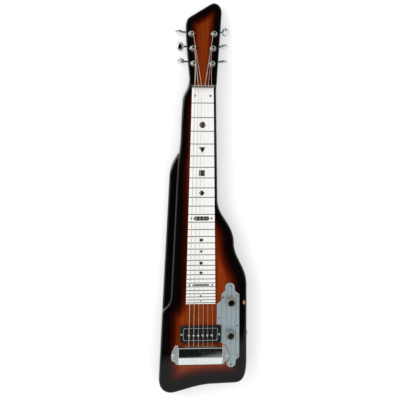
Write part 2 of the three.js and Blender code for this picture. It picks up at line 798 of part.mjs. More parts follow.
// The pickup: a bobbin of wire on a steel keeper with six pole screws, in a chrome frame and a black ring
const poleTop = stringPlane - pickupBelowStrings;
const bobbinTop = poleTop - 1.2;
const bobbinEnd = poleSpread / 2 + 4;
const bobbinHalf = 6;
const poleX = (i) => stringShare(i) * poleSpread;
const poleY = -pickupPlace - poleOffset;
const keeperBottom = deckTop - pickupCavityDepth + 6;
const keeperTop = keeperBottom + 3;
const flange = 1.4;
const frameWall = 0.8;
const frameLip = 2.4;
const coilTop = bobbinTop - 2.8;

// The plan of the pickup's frame, drawn in by an inset.
function pickupRectangle(inset, radius) {
  return roundedRectangle(0, -pickupPlace, frameLength - 2 * inset, frameWidth - 2 * inset, radius);
}

function ringSolid() {
  const outer = roundedRectangle(0, -pickupPlace, ringLength, ringWidth, 4);
  outer.holes.push(roundedRectangle(0, -pickupPlace, frameLength + 2 * seat, frameWidth + 2 * seat, 3));
  const ring = slab(outer, deckTop + seat, ringTop, 0.8, 3, 1);
  const holes = [-1, 1].map((side) => bar(side * ringScrewX, -pickupPlace, deckTop, ringTop + 1, 1.4, 8));
  return cut(ring, ...holes);
}

// The chrome frame stands in the ring: four walls and a narrow lip round a window for the bobbin.
function frameSolid() {
  const outer = pickupRectangle(0, 3);
  const inside = pickupRectangle(frameWall, 2.4);
  const window = pickupRectangle(frameLip, 5);
  return cut(
    slab(outer, deckTop - 8, bobbinTop, 0.6, 3, 1),
    slab(inside, deckTop - 9, bobbinTop - frameWall, 0, 3),
    slab(window, 0, bobbinTop + 1, 0, 3),
  );
}

function bobbinSolid() {
  const lowTop = keeperTop + seat + flange;
  const waist = roundedRectangle(0, poleY, 2 * bobbinEnd, 2 * bobbinHalf, bobbinHalf - 0.5);
  const core = slab(waist, lowTop - 0.5, bobbinTop - 2, 0, 2);
  const top = slab(pickupRectangle(frameWall + seat, 2.2), coilTop + seat, bobbinTop - 1.1, 0, 2);
  const deck = slab(pickupRectangle(frameLip + 0.5, 4.5), bobbinTop - 1.4, bobbinTop, 0.4, 3, 1);
  const low = slab(pickupRectangle(frameWall + seat + 2, 2.2), keeperTop + seat, lowTop, 0, 2);
  const holes = stringDiameters.map((_, i) => bar(poleX(i), poleY, 0, bobbinTop + 1, poleRadius + 2 * seat, 6));
  return cut(join(core, top, deck, low), ...holes);
}

function coilSolid() {
  const outer = pickupRectangle(frameWall + seat + 1.2, 4);
  const room = 2 * seat;
  outer.holes.push(roundedRectangle(0, poleY, 2 * bobbinEnd + room, 2 * bobbinHalf + room, bobbinHalf - 0.5));
  return slab(outer, keeperTop + flange + 2 * seat, coilTop, 0, 3);
}

// The six pole screws stand in one steel keeper bar below the bobbin.
function polesSolid() {
  const keeper = block(-bobbinEnd, bobbinEnd, poleY - 3.4, poleY + 3.4, keeperBottom, keeperTop);
  const poles = stringDiameters.map((_, i) => {
    const profile = [
      [0, keeperBottom + 1],
      [poleRadius * 0.7, keeperBottom + 1],
      [poleRadius * 0.7, bobbinTop - 0.6],
      [poleRadius, bobbinTop - 0.6],
      [poleRadius, poleTop],
      [0, poleTop],
    ];
    return turned(profile, 8).translate(poleX(i), poleY, 0);
  });
  return join(keeper, ...poles);
}

addPiece("pickup_ring", ringSolid(), blackPlastic);
addPiece("pickup_frame", frameSolid(), chrome);
addPiece("pickup_bobbin", bobbinSolid(), blackPlastic);
addPiece("pickup_coil", coilSolid(), copperWire);
addPiece("pickup_poles", polesSolid(), chrome);
const magnetHalf = 6.2;
const magnetTop = keeperBottom - seat;
const magnet = block(-bobbinEnd, bobbinEnd, poleY - magnetHalf, poleY + magnetHalf, magnetTop - 4, magnetTop);
addPiece("pickup_magnet", magnet, magnetBlack);
addScrewPair("ring");

// The bridge: a bent steel plate whose upright rear wall holds the string ends, and a grooved saddle bar
function bridgePlateSolid() {
  const wallTop = plateTop + wallHeight;
  const front = bridgeAhead - scaleLength;
  const profile = polygon([
    [front, deckTop + seat],
    [front, plateTop],
    [-wallFront, plateTop],
    [-wallFront, wallTop],
    [-wallRear, wallTop],
    [-wallRear, plateTop],
    [-bridgeRear, plateTop],
    [-bridgeRear, deckTop + seat],
  ]);
  const holes = stringDiameters.map((_, i) => {
    const radius = stringRadius(i) + seat;
    const hole = new THREE.CylinderGeometry(radius, radius, 3 * plateThickness, 10);
    return hole.translate(stringXAt(i, scaleLength), -(wallFront + wallRear) / 2, anchorHeight);
  });
  const { x, place, shank } = screws.bridge;
  const screwHoles = [-1, 1].map((side) => bar(side * x, -place, deckTop, plateTop + 1, shank[0] + seat, 8));
  return cut(acrossX(profile, bridgeLength), ...holes, ...screwHoles);
}

function saddleSolid() {
  const half = 3;
  const profile = new THREE.Shape();
  profile.moveTo(-scaleLength - half, plateTop + seat);
  profile.lineTo(-scaleLength + half, plateTop + seat);
  profile.lineTo(-scaleLength + half - 0.8, stringPlane - 1.6);
  profile.quadraticCurveTo(-scaleLength + 1, stringPlane, -scaleLength, stringPlane);
  profile.quadraticCurveTo(-scaleLength - 1, stringPlane, -scaleLength - half + 0.8, stringPlane - 1.6);
  const grooves = stringDiameters.map((_, i) => groove(i, scaleLength, 14));
  return cut(acrossX(profile, bridgeLength - 8, 4), ...grooves);
}

addPiece("bridge_plate", bridgePlateSolid(), nickel);
addPiece("bridge_saddle", saddleSolid(), nickel);
addScrewPair("bridge");

// The bridge cover: one folded sheet with a flat top, a sloping rear, an end wall and a leaf-shaped foot each side
function coverSolid() {
  const bottom = deckTop + seat;
  const top = coverTop;
  const rear = bottom + coverRearHeight;
  const outer = polygon([
    [-coverFront, bottom],
    [-coverBack, bottom],
    [-coverBack, rear],
    [-coverFold, top],
    [-coverFront, top],
  ]);
  const inner = polygon([
    [-coverFront + 5, bottom - 1],
    [-coverBack + coverSheet, bottom - 1],
    [-coverBack + coverSheet, rear - 0.4],
    [-coverFold, top - coverSheet],
    [-coverFront + 5, top - coverSheet],
  ]);
  const shell = cut(acrossX(outer, 2 * coverHalf), acrossX(inner, 2 * (coverHalf - coverSheet)));
  const feet = [-1, 1].map((side) => {
    const foot = slab(footOutline(side), bottom, bottom + coverSheet, 0, 4);
    const hole = bar(side * earScrewX, -earScrewPlace, deckTop - 1, top, 1.9, 8);
    return cut(foot, hole);
  });
  return join(shell, ...feet);
}

// A foot's plan: a straight strip along the end wall, and a leaf that bulges out round its screw.
function footOutline(side) {
  const root = side * (coverHalf - 0.5);
  const strip = side * (coverHalf + footWidth);
  const tip = side * (coverHalf + footWidth + 1.3 * earWidth);
  const shape = new THREE.Shape();
  shape.moveTo(root, -coverBack);
  shape.lineTo(strip, -coverBack);
  shape.lineTo(strip, -earBack);
  shape.bezierCurveTo(tip, -earBack - 1, tip, -earFront - 17, strip, -earFront);
  shape.lineTo(root, -earFront);
  return shape;
}

addPiece("bridge_cover", coverSolid(), chrome);
addScrewPair("cover");

// The control plate: a pressed sheet with a round tongue at each end, which steps out in tiers past the end of
// the fingerboard and the pickup, and is cut away round the cover's foot. It has four raised lines along it and
// holes for the controls.
// Each tongue has a place across from the knobs, one ahead of the volume or behind the tone knob, and a radius.
const topTongue = { across: -2, ahead: 31, radius: 10.4 };
const lowTongue = { across: 3, behind: 66.4, radius: 10 };
const tierBass = -20.5;
const tierTreble = 18.5;
const tierTrebleLow = 20.9;
const shoulder = 8;
const plateRoom = 0.6;
const besideBoard = 2.9;

function controlOutline() {
  const shape = new THREE.Shape();
  const [volumeY, toneY] = [-volumePlace, -tonePlace];
  const [topX, topY] = [knobX + topTongue.across, volumeY + topTongue.ahead];
  const [lowX, lowY] = [knobX + lowTongue.across, toneY - lowTongue.behind];
  const upper = topY - 7;
  const lower = lowY + 6.2;
  const inner = boardHalfAt(boardLength) + besideBoard;
  const besideRing = ringLength / 2 + plateRoom;
  const strip = coverHalf + footWidth;
  const beyondEar = strip + earWidth + 3.5;
  const ringFront = -pickupPlace + ringWidth / 2 + 1;
  const ringRear = -pickupPlace - ringWidth / 2 - 1;
  const earTip = 1.5 - earFront;
  const sideTop = volumeY - 5.5;
  shape.moveTo(topX - topTongue.radius, upper);
  shape.lineTo(topX - topTongue.radius, topY);
  shape.absarc(topX, topY, topTongue.radius, Math.PI, 0, true);
  shape.lineTo(topX + topTongue.radius, upper);
  shape.lineTo(knobX + tierTreble, upper - shoulder);
  shape.lineTo(knobX + tierTrebleLow, lower + shoulder);
  shape.lineTo(lowX + lowTongue.radius, lower);
  shape.lineTo(lowX + lowTongue.radius, lowY);
  shape.absarc(lowX, lowY, lowTongue.radius, 0, -Math.PI, true);
  shape.lineTo(lowX - lowTongue.radius, -earBack - 1);
  shape.lineTo(strip + 6.5, -earBack - 0.8);
  shape.bezierCurveTo(beyondEar - 1.2, -earBack + 2, beyondEar, earTip - 18, strip + 1.2, earTip);
  shape.lineTo(besideRing + 4.5, earTip);
  shape.lineTo(besideRing, ringRear);
  shape.lineTo(besideRing, ringFront);
  shape.lineTo(inner, ringFront);
  shape.lineTo(inner, sideTop);
  shape.lineTo(inner + 4, sideTop + 2);
  shape.lineTo(knobX + tierBass, sideTop + shoulder);
  shape.lineTo(knobX + tierBass, upper - shoulder);
  return shape;
}

// The plate's screws: across from the knobs, and behind the volume or the tone knob
const volumeScrews = [[-1, -34.8], [-16.5, -10.5], [14.5, -11.5], [-25.5, 38]];
const toneScrews = [[15.5, -19.9], [17, 48.3], [3, 70]];
const controlScrewSpots = [
  ...volumeScrews.map(([across, behind]) => [knobX + across, -volumePlace - behind]),
  ...toneScrews.map(([across, behind]) => [knobX + across, -tonePlace - behind]),
];

// The raised lines: across from the knobs, and how far each runs ahead of the volume and behind the tone knob
const lineHeight = 0.35;
const raisedLines = [
  [-19.3, 14, 15],
  [-8.5, 37, 18],
  [1.3, 37, 75],
  [12.1, 14, 60],
];

function controlPlateSolid() {
  const outline = controlOutline();
  const sheet = slab(outline, deckTop + seat, controlTop, 0.4, 4, 1);
  const tall = slab(outline, controlTop - 1, controlTop + 2, 0, 4);
  const lines = raisedLines.map(([across, ahead, behind]) => {
    const x = knobX + across;
    const [y0, y1] = [-tonePlace - behind, -volumePlace + ahead];
    return common(block(x - 0.5, x + 0.5, y0, y1, controlTop - 1, controlTop + lineHeight), tall);
  });
  const holes = controlScrewSpots.map(([x, y]) => bar(x, y, deckTop, controlTop + 1, 1.9, 8));
  const bushHoles = [volumePlace, tonePlace].map((d) => {
    return bar(knobX, -d, deckTop, controlTop + 2, bushRadius + seat, 12);
  });
  return cut(join(sheet, ...lines), ...holes, ...bushHoles);
}

// Each control: a pot under the plate, held by its threaded bush, with a shaft that carries the knob
const bushTop = controlTop + 3.2;
const shaftTop = controlTop + 10;
const lugDepth = 4;
const lugLength = 5;

function potSolid() {
  const top = deckTop - seat;
  const profile = [
    [0, top - potHeight],
    [potRadius - 1, top - potHeight],
    [potRadius, top - potHeight + 1],
    [potRadius, top - 1],
    [bushRadius, top],
    [bushRadius, bushTop],
    [shaftRadius + seat, bushTop],
    [shaftRadius + seat, top - potHeight + 3],
    [0, top - potHeight + 3],
  ];
  const lugs = block(-6, 6, -potRadius - lugLength, -potRadius + 1, top - lugDepth, top - lugDepth + 1.4);
  return join(turned(profile, 14), lugs);
}

function shaftSolid() {
  const bottom = deckTop - seat - potHeight + 3 + seat;
  return bar(0, 0, bottom, shaftTop, shaftRadius, 12);
}

function knobSolid() {
  const base = bushTop - 1.6;
  const profile = [
    [bushRadius + 1, base],
    [knobRadius, base],
    [knobRadius, base + 1.2],
    [knobRadius - 0.7, base + 1.8],
    [knobRadius - 0.9, base + knobHeight - 3.4],
    [knobRadius - 1.6, base + knobHeight - 1.6],
    [knobRadius * 0.5, base + knobHeight - 0.4],
    [0, base + knobHeight],
    [0, shaftTop + seat],
    [shaftRadius + seat, shaftTop + seat],
    [shaftRadius + seat, bushTop + 0.8],
    [bushRadius + 1, bushTop + 0.8],
    [bushRadius + 1, base],
  ];
  return turned(profile, 14);
}

addPiece("control_plate", controlPlateSolid(), silverPlate);
[volumePlace, tonePlace].forEach((d, i) => {
  const name = ["volume", "tone"][i];
  const pot = addPiece(`${name}_pot`, potSolid(), brass);
  pot.position.set(knobX, -d, 0);
  pot.rotation.z = i * Math.PI;
  addPiece(`${name}_shaft`, shaftSolid(), nickel).position.set(knobX, -d, 0);
  addPiece(`${name}_knob`, knobSolid(), chrome).position.set(knobX, -d, 0);
});

// The output jack: a long barrel in the treble edge, with a flange outside and an open bore for the plug
function jackSolid() {
  const outside = jackMouth;
  const profile = [
    [jackBore, 0],
    [9, 0],
    [9, 1],
    [7.6, 1.4],
    [7.4, 3],
    [jackBore, 3],
    [jackBore, 0],
  ];
  const flange = turned(profile, 16).rotateY(Math.PI / 2).translate(outside, -jackPlace, jackHeight);
  const barrel = sideBar(outside + 0.5 - jackLength, outside + 0.5, -jackPlace, jackHeight, jackRadius, 16);
  const bore = sideBar(outside - jackLength + 4, outside + 5, -jackPlace, jackHeight, jackBore, 16);
  return cut(join(barrel, flange), bore);
}

const jackMouth = boutTreble - 0.6;
addPiece("output_jack", jackSolid(), nickel);

// Inside the body: a capacitor between the two pots, and the leads from the pickup and to the jack
const capacitorPlace = (volumePlace + tonePlace) / 2;
const capacitorLevel = deckTop - 7;
const lugLevel = deckTop - seat - lugDepth;
const lugGap = 4.6;

function capacitorSolid() {
  const disc = slab(oval(5.5, 5.5, 12), -1.8, 1.8, 1, 1, 1).rotateX(Math.PI / 2);
  const reach = (tonePlace - volumePlace) / 2 - potRadius - lugLength + 1;
  const legs = [-1, 1].map((end) => {
    const stations = [
      new THREE.Vector3(0, 0, -3),
      new THREE.Vector3(0, end * 5, -4.5),
      new THREE.Vector3(0, end * reach, 0),
      new THREE.Vector3(0, end * reach, lugLevel - seat - capacitorLevel),
    ];
    return tube(stations, 0.4, 4);
  });
  return join(disc, ...legs).translate(knobX + lugGap, -capacitorPlace, capacitorLevel);
}

addPiece("tone_capacitor", capacitorSolid(), brass);

const leadRadius = 1.4;
const lugY = -volumePlace - potRadius - lugLength + 2;

function leadSolid(points) {
  return tube(points.map((point) => new THREE.Vector3(...point)), leadRadius, 8);
}

const cavityWall = controlCavity.x0;
const alongLead = (share) => -pickupPlace + share * (lugY + pickupPlace);
addPiece("pickup_lead", leadSolid([
  [pickupCavity.length / 2 - 8, -pickupPlace - 1, channelLevel - 6],
  [pickupCavity.length / 2 - 4, -pickupPlace, channelLevel],
  [cavityWall + 2, -pickupPlace, channelLevel],
  [cavityWall + 0.6 * potRadius, alongLead(0.14), channelLevel - 3],
  [cavityWall + 0.87 * potRadius, alongLead(0.37), channelLevel - 5],
  [knobX, lugY - 3, channelLevel - 1],
  [knobX, lugY, channelLevel + 5],
  [knobX, lugY, lugLevel - seat],
]), creamInsulation);
const jackEnd = jackMouth - jackLength + 0.5;
addPiece("jack_lead", leadSolid([
  [jackEnd - seat, -jackPlace, jackHeight],
  [jackEnd - seat - 2 * leadRadius, -jackPlace, jackHeight],
  [cavityWall + 3, -jackPlace + 11, jackHeight - 5],
  [cavityWall + 3, -jackPlace + 36, jackHeight - 5],
  [knobX - lugGap - 2, lugY - 6, jackHeight + 2],
  [knobX - lugGap, lugY, jackHeight + 8],
  [knobX - lugGap, lugY, lugLevel - seat],
]), creamInsulation);

export default guitar;
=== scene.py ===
# %% [markdown]
# # Dressing a lap steel guitar
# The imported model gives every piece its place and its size, in metres. It lies on its back on the floor, with
# X towards the treble side, Y towards the head and Z up. This script keeps that frame still, and builds the
# finer shapes and the finishes around it. Sizes are written in millimetres, as a guitar maker writes them,
# and one value turns them into metres.

# %% Load the frame
import math

import bmesh
import bpy
import numpy as np
from mathutils import Matrix, Vector
from mathutils.geometry import delaunay_2d_cdt


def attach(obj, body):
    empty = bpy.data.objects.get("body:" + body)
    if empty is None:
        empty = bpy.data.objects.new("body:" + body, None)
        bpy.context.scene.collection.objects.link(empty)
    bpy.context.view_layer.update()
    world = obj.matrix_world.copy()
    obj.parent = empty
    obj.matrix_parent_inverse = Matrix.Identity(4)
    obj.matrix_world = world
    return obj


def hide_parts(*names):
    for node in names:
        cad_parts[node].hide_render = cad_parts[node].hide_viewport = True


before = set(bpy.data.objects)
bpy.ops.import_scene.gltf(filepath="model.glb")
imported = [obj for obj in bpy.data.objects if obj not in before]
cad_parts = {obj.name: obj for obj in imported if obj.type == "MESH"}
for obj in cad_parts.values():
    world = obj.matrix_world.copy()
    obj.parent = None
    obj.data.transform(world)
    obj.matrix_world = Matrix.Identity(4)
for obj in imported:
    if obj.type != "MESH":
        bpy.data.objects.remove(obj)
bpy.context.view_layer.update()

MM = 0.001

# %% [markdown]
# ## Node trees
# Lights, finishes and rules for shapes are all trees of nodes in Blender. They could be drawn by hand in its
# node editors. Here one helper adds a node, sets its values and links its inputs, so each tree below reads as
# a list of what feeds what. The others do sums, add noise, read a range and set the colours along a ramp.

# %% Write node trees
def node(tree, kind, links=(), **values):
    made = tree.nodes.new(kind)
    for label, value in values.items():
        if hasattr(made, label):
            setattr(made, label, value)
        else:
            made.inputs[label.replace("_", " ")].default_value = value
    for socket, source in dict(links).items():
        tree.links.new(source, made.inputs[socket])
    return made


def sums(tree, operation, a, b):
    made = node(tree, "ShaderNodeMath", operation=operation)
    for socket, value in zip(made.inputs, (a, b)):
        if isinstance(value, (int, float)):
            socket.default_value = value
        else:
            tree.links.new(value, socket)
    return made.outputs[0]


def noise(tree, place, scale, detail, roughness=0.5):
    values = {"Scale": scale, "Detail": detail, "Roughness": roughness}
    return node(tree, "ShaderNodeTexNoise", {"Vector": place}, **values).outputs["Fac"]


def between(tree, value, low, high):
    return node(tree, "ShaderNodeMapRange", {"Value": value}, From_Min=low, From_Max=high).outputs[0]


def set_stops(ramp_node, stops):
    elements = ramp_node.color_ramp.elements
    while len(elements) < len(stops):
        elements.new(0.5)
    for element, (position, colour) in zip(elements, stops):
        element.position = position
        element.color = (*colour, 1)


def new_material(name):
    material = bpy.data.materials.new(name)
    material.use_nodes = True
    tree = material.node_tree
    return material, tree, tree.nodes["Principled BSDF"]


def settings(shader, **values):
    for label, value in values.items():
        shader.inputs[label.replace("_", " ")].default_value = value


print("node helpers ready")

# %% [markdown]
# ## The camera
# The photograph was taken from almost straight above, a little towards the foot of the guitar. The fret lines
# follow a known rule, so their places in the picture gave the camera's place and direction. The lens is set
# by how quickly the lines draw together: twice as long as the picture is wide. The Standard view transform
# shows each colour as it is written, where the default one would grey the whites.

# %% Set up the camera
bpy.context.scene.view_settings.view_transform = "Standard"


def place_camera(position, right, up, lens_widths):
    camera = bpy.data.objects.new("camera", bpy.data.cameras.new("camera"))
    bpy.context.scene.collection.objects.link(camera)
    right, up = Vector(right), Vector(up)
    back = right.cross(up)
    turn = Matrix((right, up, back)).transposed().to_4x4()
    camera.matrix_world = Matrix.Translation(Vector(position) * MM) @ turn
    camera.data.sensor_width = 36
    camera.data.lens = 36 * lens_widths
    camera.data.shift_x = 0.0004
    camera.data.shift_y = 0.00125
    camera.data.clip_start = 0.01
    camera.data.clip_end = 50
    bpy.context.scene.camera = camera
    return camera


camera = place_camera(
    position=(-137.5, 39.8, 1723.6),
    right=(0.99693634, 0.00982606, 0.07759753),
    up=(0.0029953, 0.98655402, -0.16340804),
    lens_widths=2,
)
print("camera at", [round(c, 3) for c in camera.matrix_world.translation])

# %% [markdown]
# ## The studio
# Gloss only shows what stands around it. In the photograph the flat deck is black because it mirrors a dark
# ceiling, and its lower end turns grey where the bright wall begins. So the world is bright at the sides and
# dark overhead for rays that are seen in a mirror, and one even soft level for the light that falls on
# things. A wide lamp from the upper left gives the shapes a soft side.

# %% Light the studio
white = (1, 1, 1, 1)
mirrored_walls = [(0.0, 0.30), (0.08, 0.42), (0.16, 0.98), (0.55, 1.0), (0.80, 0.66), (0.9350, 0.42),
                  (0.9358, 0.008), (1.0, 0.006)]


def light_world(even_level):
    world = bpy.data.worlds.new("studio")
    bpy.context.scene.world = world
    world.use_nodes = True
    tree = world.node_tree
    tree.nodes.clear()
    direction = node(tree, "ShaderNodeTexCoord")
    split = node(tree, "ShaderNodeSeparateXYZ", {0: direction.outputs["Generated"]})
    walls = node(tree, "ShaderNodeValToRGB", {0: split.outputs["Z"]})
    set_stops(walls, [(height, (level, level, level)) for height, level in mirrored_walls])
    seen = node(tree, "ShaderNodeBackground", {"Color": walls.outputs["Color"]})
    even = node(tree, "ShaderNodeBackground", Color=white, Strength=even_level)
    ray = node(tree, "ShaderNodeLightPath").outputs
    either = {0: ray["Is Glossy Ray"], 1: ray["Is Transmission Ray"]}
    mirrored = node(tree, "ShaderNodeMath", either, use_clamp=True)
    mix = node(tree, "ShaderNodeMixShader", {0: mirrored.outputs[0], 1: even.outputs[0], 2: seen.outputs[0]})
    plain = node(tree, "ShaderNodeBackground", Color=white)
    behind = {0: ray["Is Camera Ray"], 1: mix.outputs[0], 2: plain.outputs[0]}
    backdrop = node(tree, "ShaderNodeMixShader", behind)
    node(tree, "ShaderNodeOutputWorld", {0: backdrop.outputs[0]})


def add_lamp(name, place, aim, size, watts):
    lamp = bpy.data.lights.new(name, "AREA")
    lamp.size = size
    lamp.energy = watts
    obj = bpy.data.objects.new(name, lamp)
    bpy.context.scene.collection.objects.link(obj)
    obj.location = place
    obj.rotation_euler = (Vector(aim) - Vector(place)).to_track_quat("-Z", "Y").to_euler()
    return obj


light_world(even_level=0.90)
add_lamp("soft_window", place=(-1.7, 0.7, 1.6), aim=(0, -0.25, 0), size=1.5, watts=22)
print("world and window lamp are lit")

# %% [markdown]
# ## The floor
# A plain pale floor carries the guitar and keeps its shadow. Seen by the camera, in a mirror or through
# glass, it also glows a little, so that the background turns white without more light on the guitar. It lies
# just under the back, so that the two faces don't flicker into each other.

# %% Lay the floor
def lay_floor(half_width, gap, glow):
    mesh = bpy.data.meshes.new("floor")
    h = half_width
    mesh.from_pydata([(-h, -h, 0), (h, -h, 0), (h, h, 0), (-h, h, 0)], [], [(0, 1, 2, 3)])
    floor = bpy.data.objects.new("floor", mesh)
    bpy.context.scene.collection.objects.link(floor)
    floor.location.z = -gap
    material, tree, shader = new_material("white_floor")
    settings(shader, Base_Color=(0.76, 0.76, 0.76, 1), Roughness=0.9, Specular_IOR_Level=0.1)
    settings(shader, Emission_Color=white)
    ray = node(tree, "ShaderNodeLightPath").outputs
    seen_or_mirrored = sums(tree, "ADD", ray["Is Camera Ray"], ray["Is Glossy Ray"])
    seen_any_way = sums(tree, "ADD", seen_or_mirrored, ray["Is Transmission Ray"])
    tree.links.new(sums(tree, "MULTIPLY", seen_any_way, glow), shader.inputs["Emission Strength"])
    mesh.materials.append(material)
    return floor


floor = lay_floor(half_width=6, gap=0.0006, glow=0.33)
print("floor laid just under the back at", floor.location.z, "m")

# %% [markdown]
# ## Outlines and plates
# Most of a lap steel is flat stock sawn to an outline with its edges rounded over. A Bezier curve object with
# a bevel could do it, but a boolean needs a clean closed shell, so two helpers do the work here. One traces
# an outline from straight moves and curves. The other stacks inset copies of it into a rounded plate, and
# fills the two faces with small triangles, so that a colour can follow the edge across them. Round parts come
# from a profile that is turned about its axis, as on a lathe.

# %% Trace an outline
def trace(start, *moves, step=4.0):
    points = [Vector(start)]
    for move in moves:
        here = points[-1]
        if isinstance(move[0], (int, float)):
            there = Vector(move)
            count = max(1, round((there - here).length / step))
            points += [here.lerp(there, k / count) for k in range(1, count + 1)]
            continue
        a, b, c = (Vector(p) for p in move)
        length = (a - here).length + (b - a).length + (c - b).length
        count = max(6, round(length / step * 1.6))
        for k in range(1, count + 1):
            t = k / count
            s = 1 - t
            points.append(here * s**3 + a * 3 * s * s * t + b * 3 * s * t * t + c * t**3)
    outline = np.array([[p.x, p.y] for p in points])
    if np.linalg.norm(outline[0] - outline[-1]) < 0.01:
        outline = outline[:-1]
    return outline


def arc(cx, cy, radius, start, end, count=24):
    angles = np.radians(np.linspace(start, end, count + 1))
    return [(cx + radius * math.cos(a), cy + radius * math.sin(a)) for a in angles]


def round_rectangle(cx, cy, width, height, radius, count=6):
    x, y = width / 2 - radius, height / 2 - radius
    corners = [(x, -y, -90), (x, y, 0), (-x, y, 90), (-x, -y, 180)]
    points = []
    for dx, dy, start in corners:
        points += arc(cx + dx, cy + dy, radius, start, start + 90, count)
    return np.array(points)


def circle(cx, cy, radius, count=32):
    return np.array(arc(cx, cy, radius, 0, 360, count)[:-1])


def bend(before, here, after, radius, count):
    a, b = before - here, after - here
    reach = min(radius, a.length * 0.45, b.length * 0.45)
    start, end = here + a.normalized() * reach, here + b.normalized() * reach
    shares = [k / count for k in range(count + 1)]
    return [start * (1 - t) ** 2 + here * 2 * t * (1 - t) + end * t * t for t in shares]


def rounded_corners(points, radius, count=5):
    points = [Vector(p) for p in points]
    result = []
    for i, here in enumerate(points):
        result += bend(points[i - 1], here, points[(i + 1) % len(points)], radius, count)
    return np.array([[p.x, p.y] for p in result])


def signed_area(loop):
    x, y = loop[:, 0], loop[:, 1]
    return 0.5 * float(np.sum(x * np.roll(y, -1) - np.roll(x, -1) * y))


def inset(loop, amount):
    before = loop - np.roll(loop, 1, axis=0)
    after = np.roll(loop, -1, axis=0) - loop
    before /= np.linalg.norm(before, axis=1)[:, None]
    after /= np.linalg.norm(after, axis=1)[:, None]
    inward = np.stack([-(before + after)[:, 1], (before + after)[:, 0]], axis=1)
    inward /= np.linalg.norm(inward, axis=1)[:, None]
    cosine = np.clip(inward[:, 0] * -after[:, 1] + inward[:, 1] * after[:, 0], 0.5, 1)
    return loop + inward * (amount / cosine)[:, None]


def inside(points, loops):
    hit = np.zeros(len(points), bool)
    x, y = points[:, 0][:, None], points[:, 1][:, None]
    for loop in loops:
        ax, ay = loop[:, 0], loop[:, 1]
        bx, by = np.roll(ax, -1), np.roll(ay, -1)
        crosses = (ay > y) != (by > y)
        with np.errstate(divide="ignore", invalid="ignore"):
            at = (bx - ax) * (y - ay) / (by - ay) + ax
        hit ^= (np.sum(crosses & (x < at), axis=1) % 2).astype(bool)
    return hit


def edge_distance(points, loops):
    least = np.full(len(points), 1e9)
    for loop in loops:
        a, b = loop, np.roll(loop, -1, axis=0)
        for start in range(0, len(points), 4000):
            p = points[start:start + 4000][:, None, :]
            ab = b - a
            share = np.clip(np.sum((p - a) * ab, axis=2) / np.sum(ab * ab, axis=1), 0, 1)
            gap = np.linalg.norm(p - (a + share[:, :, None] * ab), axis=2).min(axis=1)
            least[start:start + 4000] = np.minimum(least[start:start + 4000], gap)
    return least


print("outline helpers ready; a 10 mm circle has area", round(signed_area(circle(0, 0, 10)), 1))

# %% Build a rounded plate
def fill(loops, grid):
    points = [tuple(p) for loop in loops for p in loop]
    edges, base = [], 0
    for loop in loops:
        edges += [(base + i, base + (i + 1) % len(loop)) for i in range(len(loop))]
        base += len(loop)
    if grid:
        low, high = loops[0].min(axis=0), loops[0].max(axis=0)
        xs, ys = np.arange(low[0], high[0], grid), np.arange(low[1], high[1], grid)
        extra = np.array([(x + (j % 2) * grid / 2, y) for j, y in enumerate(ys) for x in xs])
        extra = extra[inside(extra, loops)]
        extra = extra[edge_distance(extra, loops) > grid * 0.5]
        points += [tuple(p) for p in extra]
    found = delaunay_2d_cdt([Vector(p) for p in points], edges, [], 0, 1e-5)
    coords = np.array([[v.x, v.y] for v in found[0]])
    crossings = [tuple(round(c, 2) for c in coords[i]) for i, ids in enumerate(found[3]) if not ids]
    if crossings:
        raise ValueError(f"the outline crosses itself at {crossings[:4]}")
    sources = [ids[0] for ids in found[3]]
    triangles = np.array([list(f) for f in found[2]])
    keep = inside(coords[triangles].mean(axis=1), loops)
    return points, [[sources[i] for i in t] for t in triangles[keep]]


def plate(outlines, low, high, rounding=0.0, steps=4, grid=None):
    loops = []
    for i, loop in enumerate(outlines):
        ccw = signed_area(loop) > 0
        loops.append(loop if ccw == (i == 0) else loop[::-1])
    levels = [(0.0, low), (0.0, high)]
    if rounding:
        bend = [rounding * (1 - math.cos(a)) for a in np.linspace(0, math.pi / 2, steps + 1)]
        rise = [rounding * (1 - math.sin(a)) for a in np.linspace(0, math.pi / 2, steps + 1)]
        levels = [(b, low + r) for b, r in zip(bend[::-1], rise[::-1])]
        levels += [(b, high - r) for b, r in zip(bend, rise)]
    points, faces = [], []
    starts = {}
    for k, (depth, z) in enumerate(levels):
        for j, loop in enumerate(loops):
            starts[k, j] = len(points)
            ring = inset(loop, depth) if depth else loop
            points += [(x, y, z) for x, y in ring]
    for k in range(len(levels) - 1):
        for j, loop in enumerate(loops):
            n, a, b = len(loop), starts[k, j], starts[k + 1, j]
            faces += [(a + i, a + (i + 1) % n, b + (i + 1) % n, b + i) for i in range(n)]
    for k, turn in ((0, -1), (len(levels) - 1, 1)):
        depth, z = levels[k]
        rings = [inset(loop, depth) if depth else loop for loop in loops]
        flat, triangles = fill(rings, grid)
        known = [starts[k, j] + i for j, loop in enumerate(loops) for i in range(len(loop))]
        extra = len(points) - len(known)
        points += [(x, y, z) for x, y in flat[len(known):]]
        index = lambda i: known[i] if i < len(known) else i + extra
        faces += [tuple(index(i) for i in t)[::turn] for t in triangles]
    return np.array(points), faces


def turned(profile, count=48, ridges=None):
    points, faces, rows = [], [], []
    for r, z, *knurl in profile:
        if r < 1e-6:
            rows.append([len(points)])
            points.append((0, 0, z))
            continue
        rows.append(list(range(len(points), len(points) + count)))
        depth = knurl[0] if knurl else 0
        for i in range(count):
            angle = 2 * math.pi * i / count
            out = r - (depth * (0.5 - 0.5 * math.cos(angle * ridges)) if depth else 0)
            points.append((out * math.cos(angle), out * math.sin(angle), z))
    for a, b in zip(rows, rows[1:]):
        for i in range(count):
            j = (i + 1) % count
            face = [a[i % len(a)], a[j % len(a)], b[j % len(b)], b[i % len(b)]]
            face = list(dict.fromkeys(face))
            if len(face) > 2:
                faces.append(tuple(face))
    return np.array(points), faces


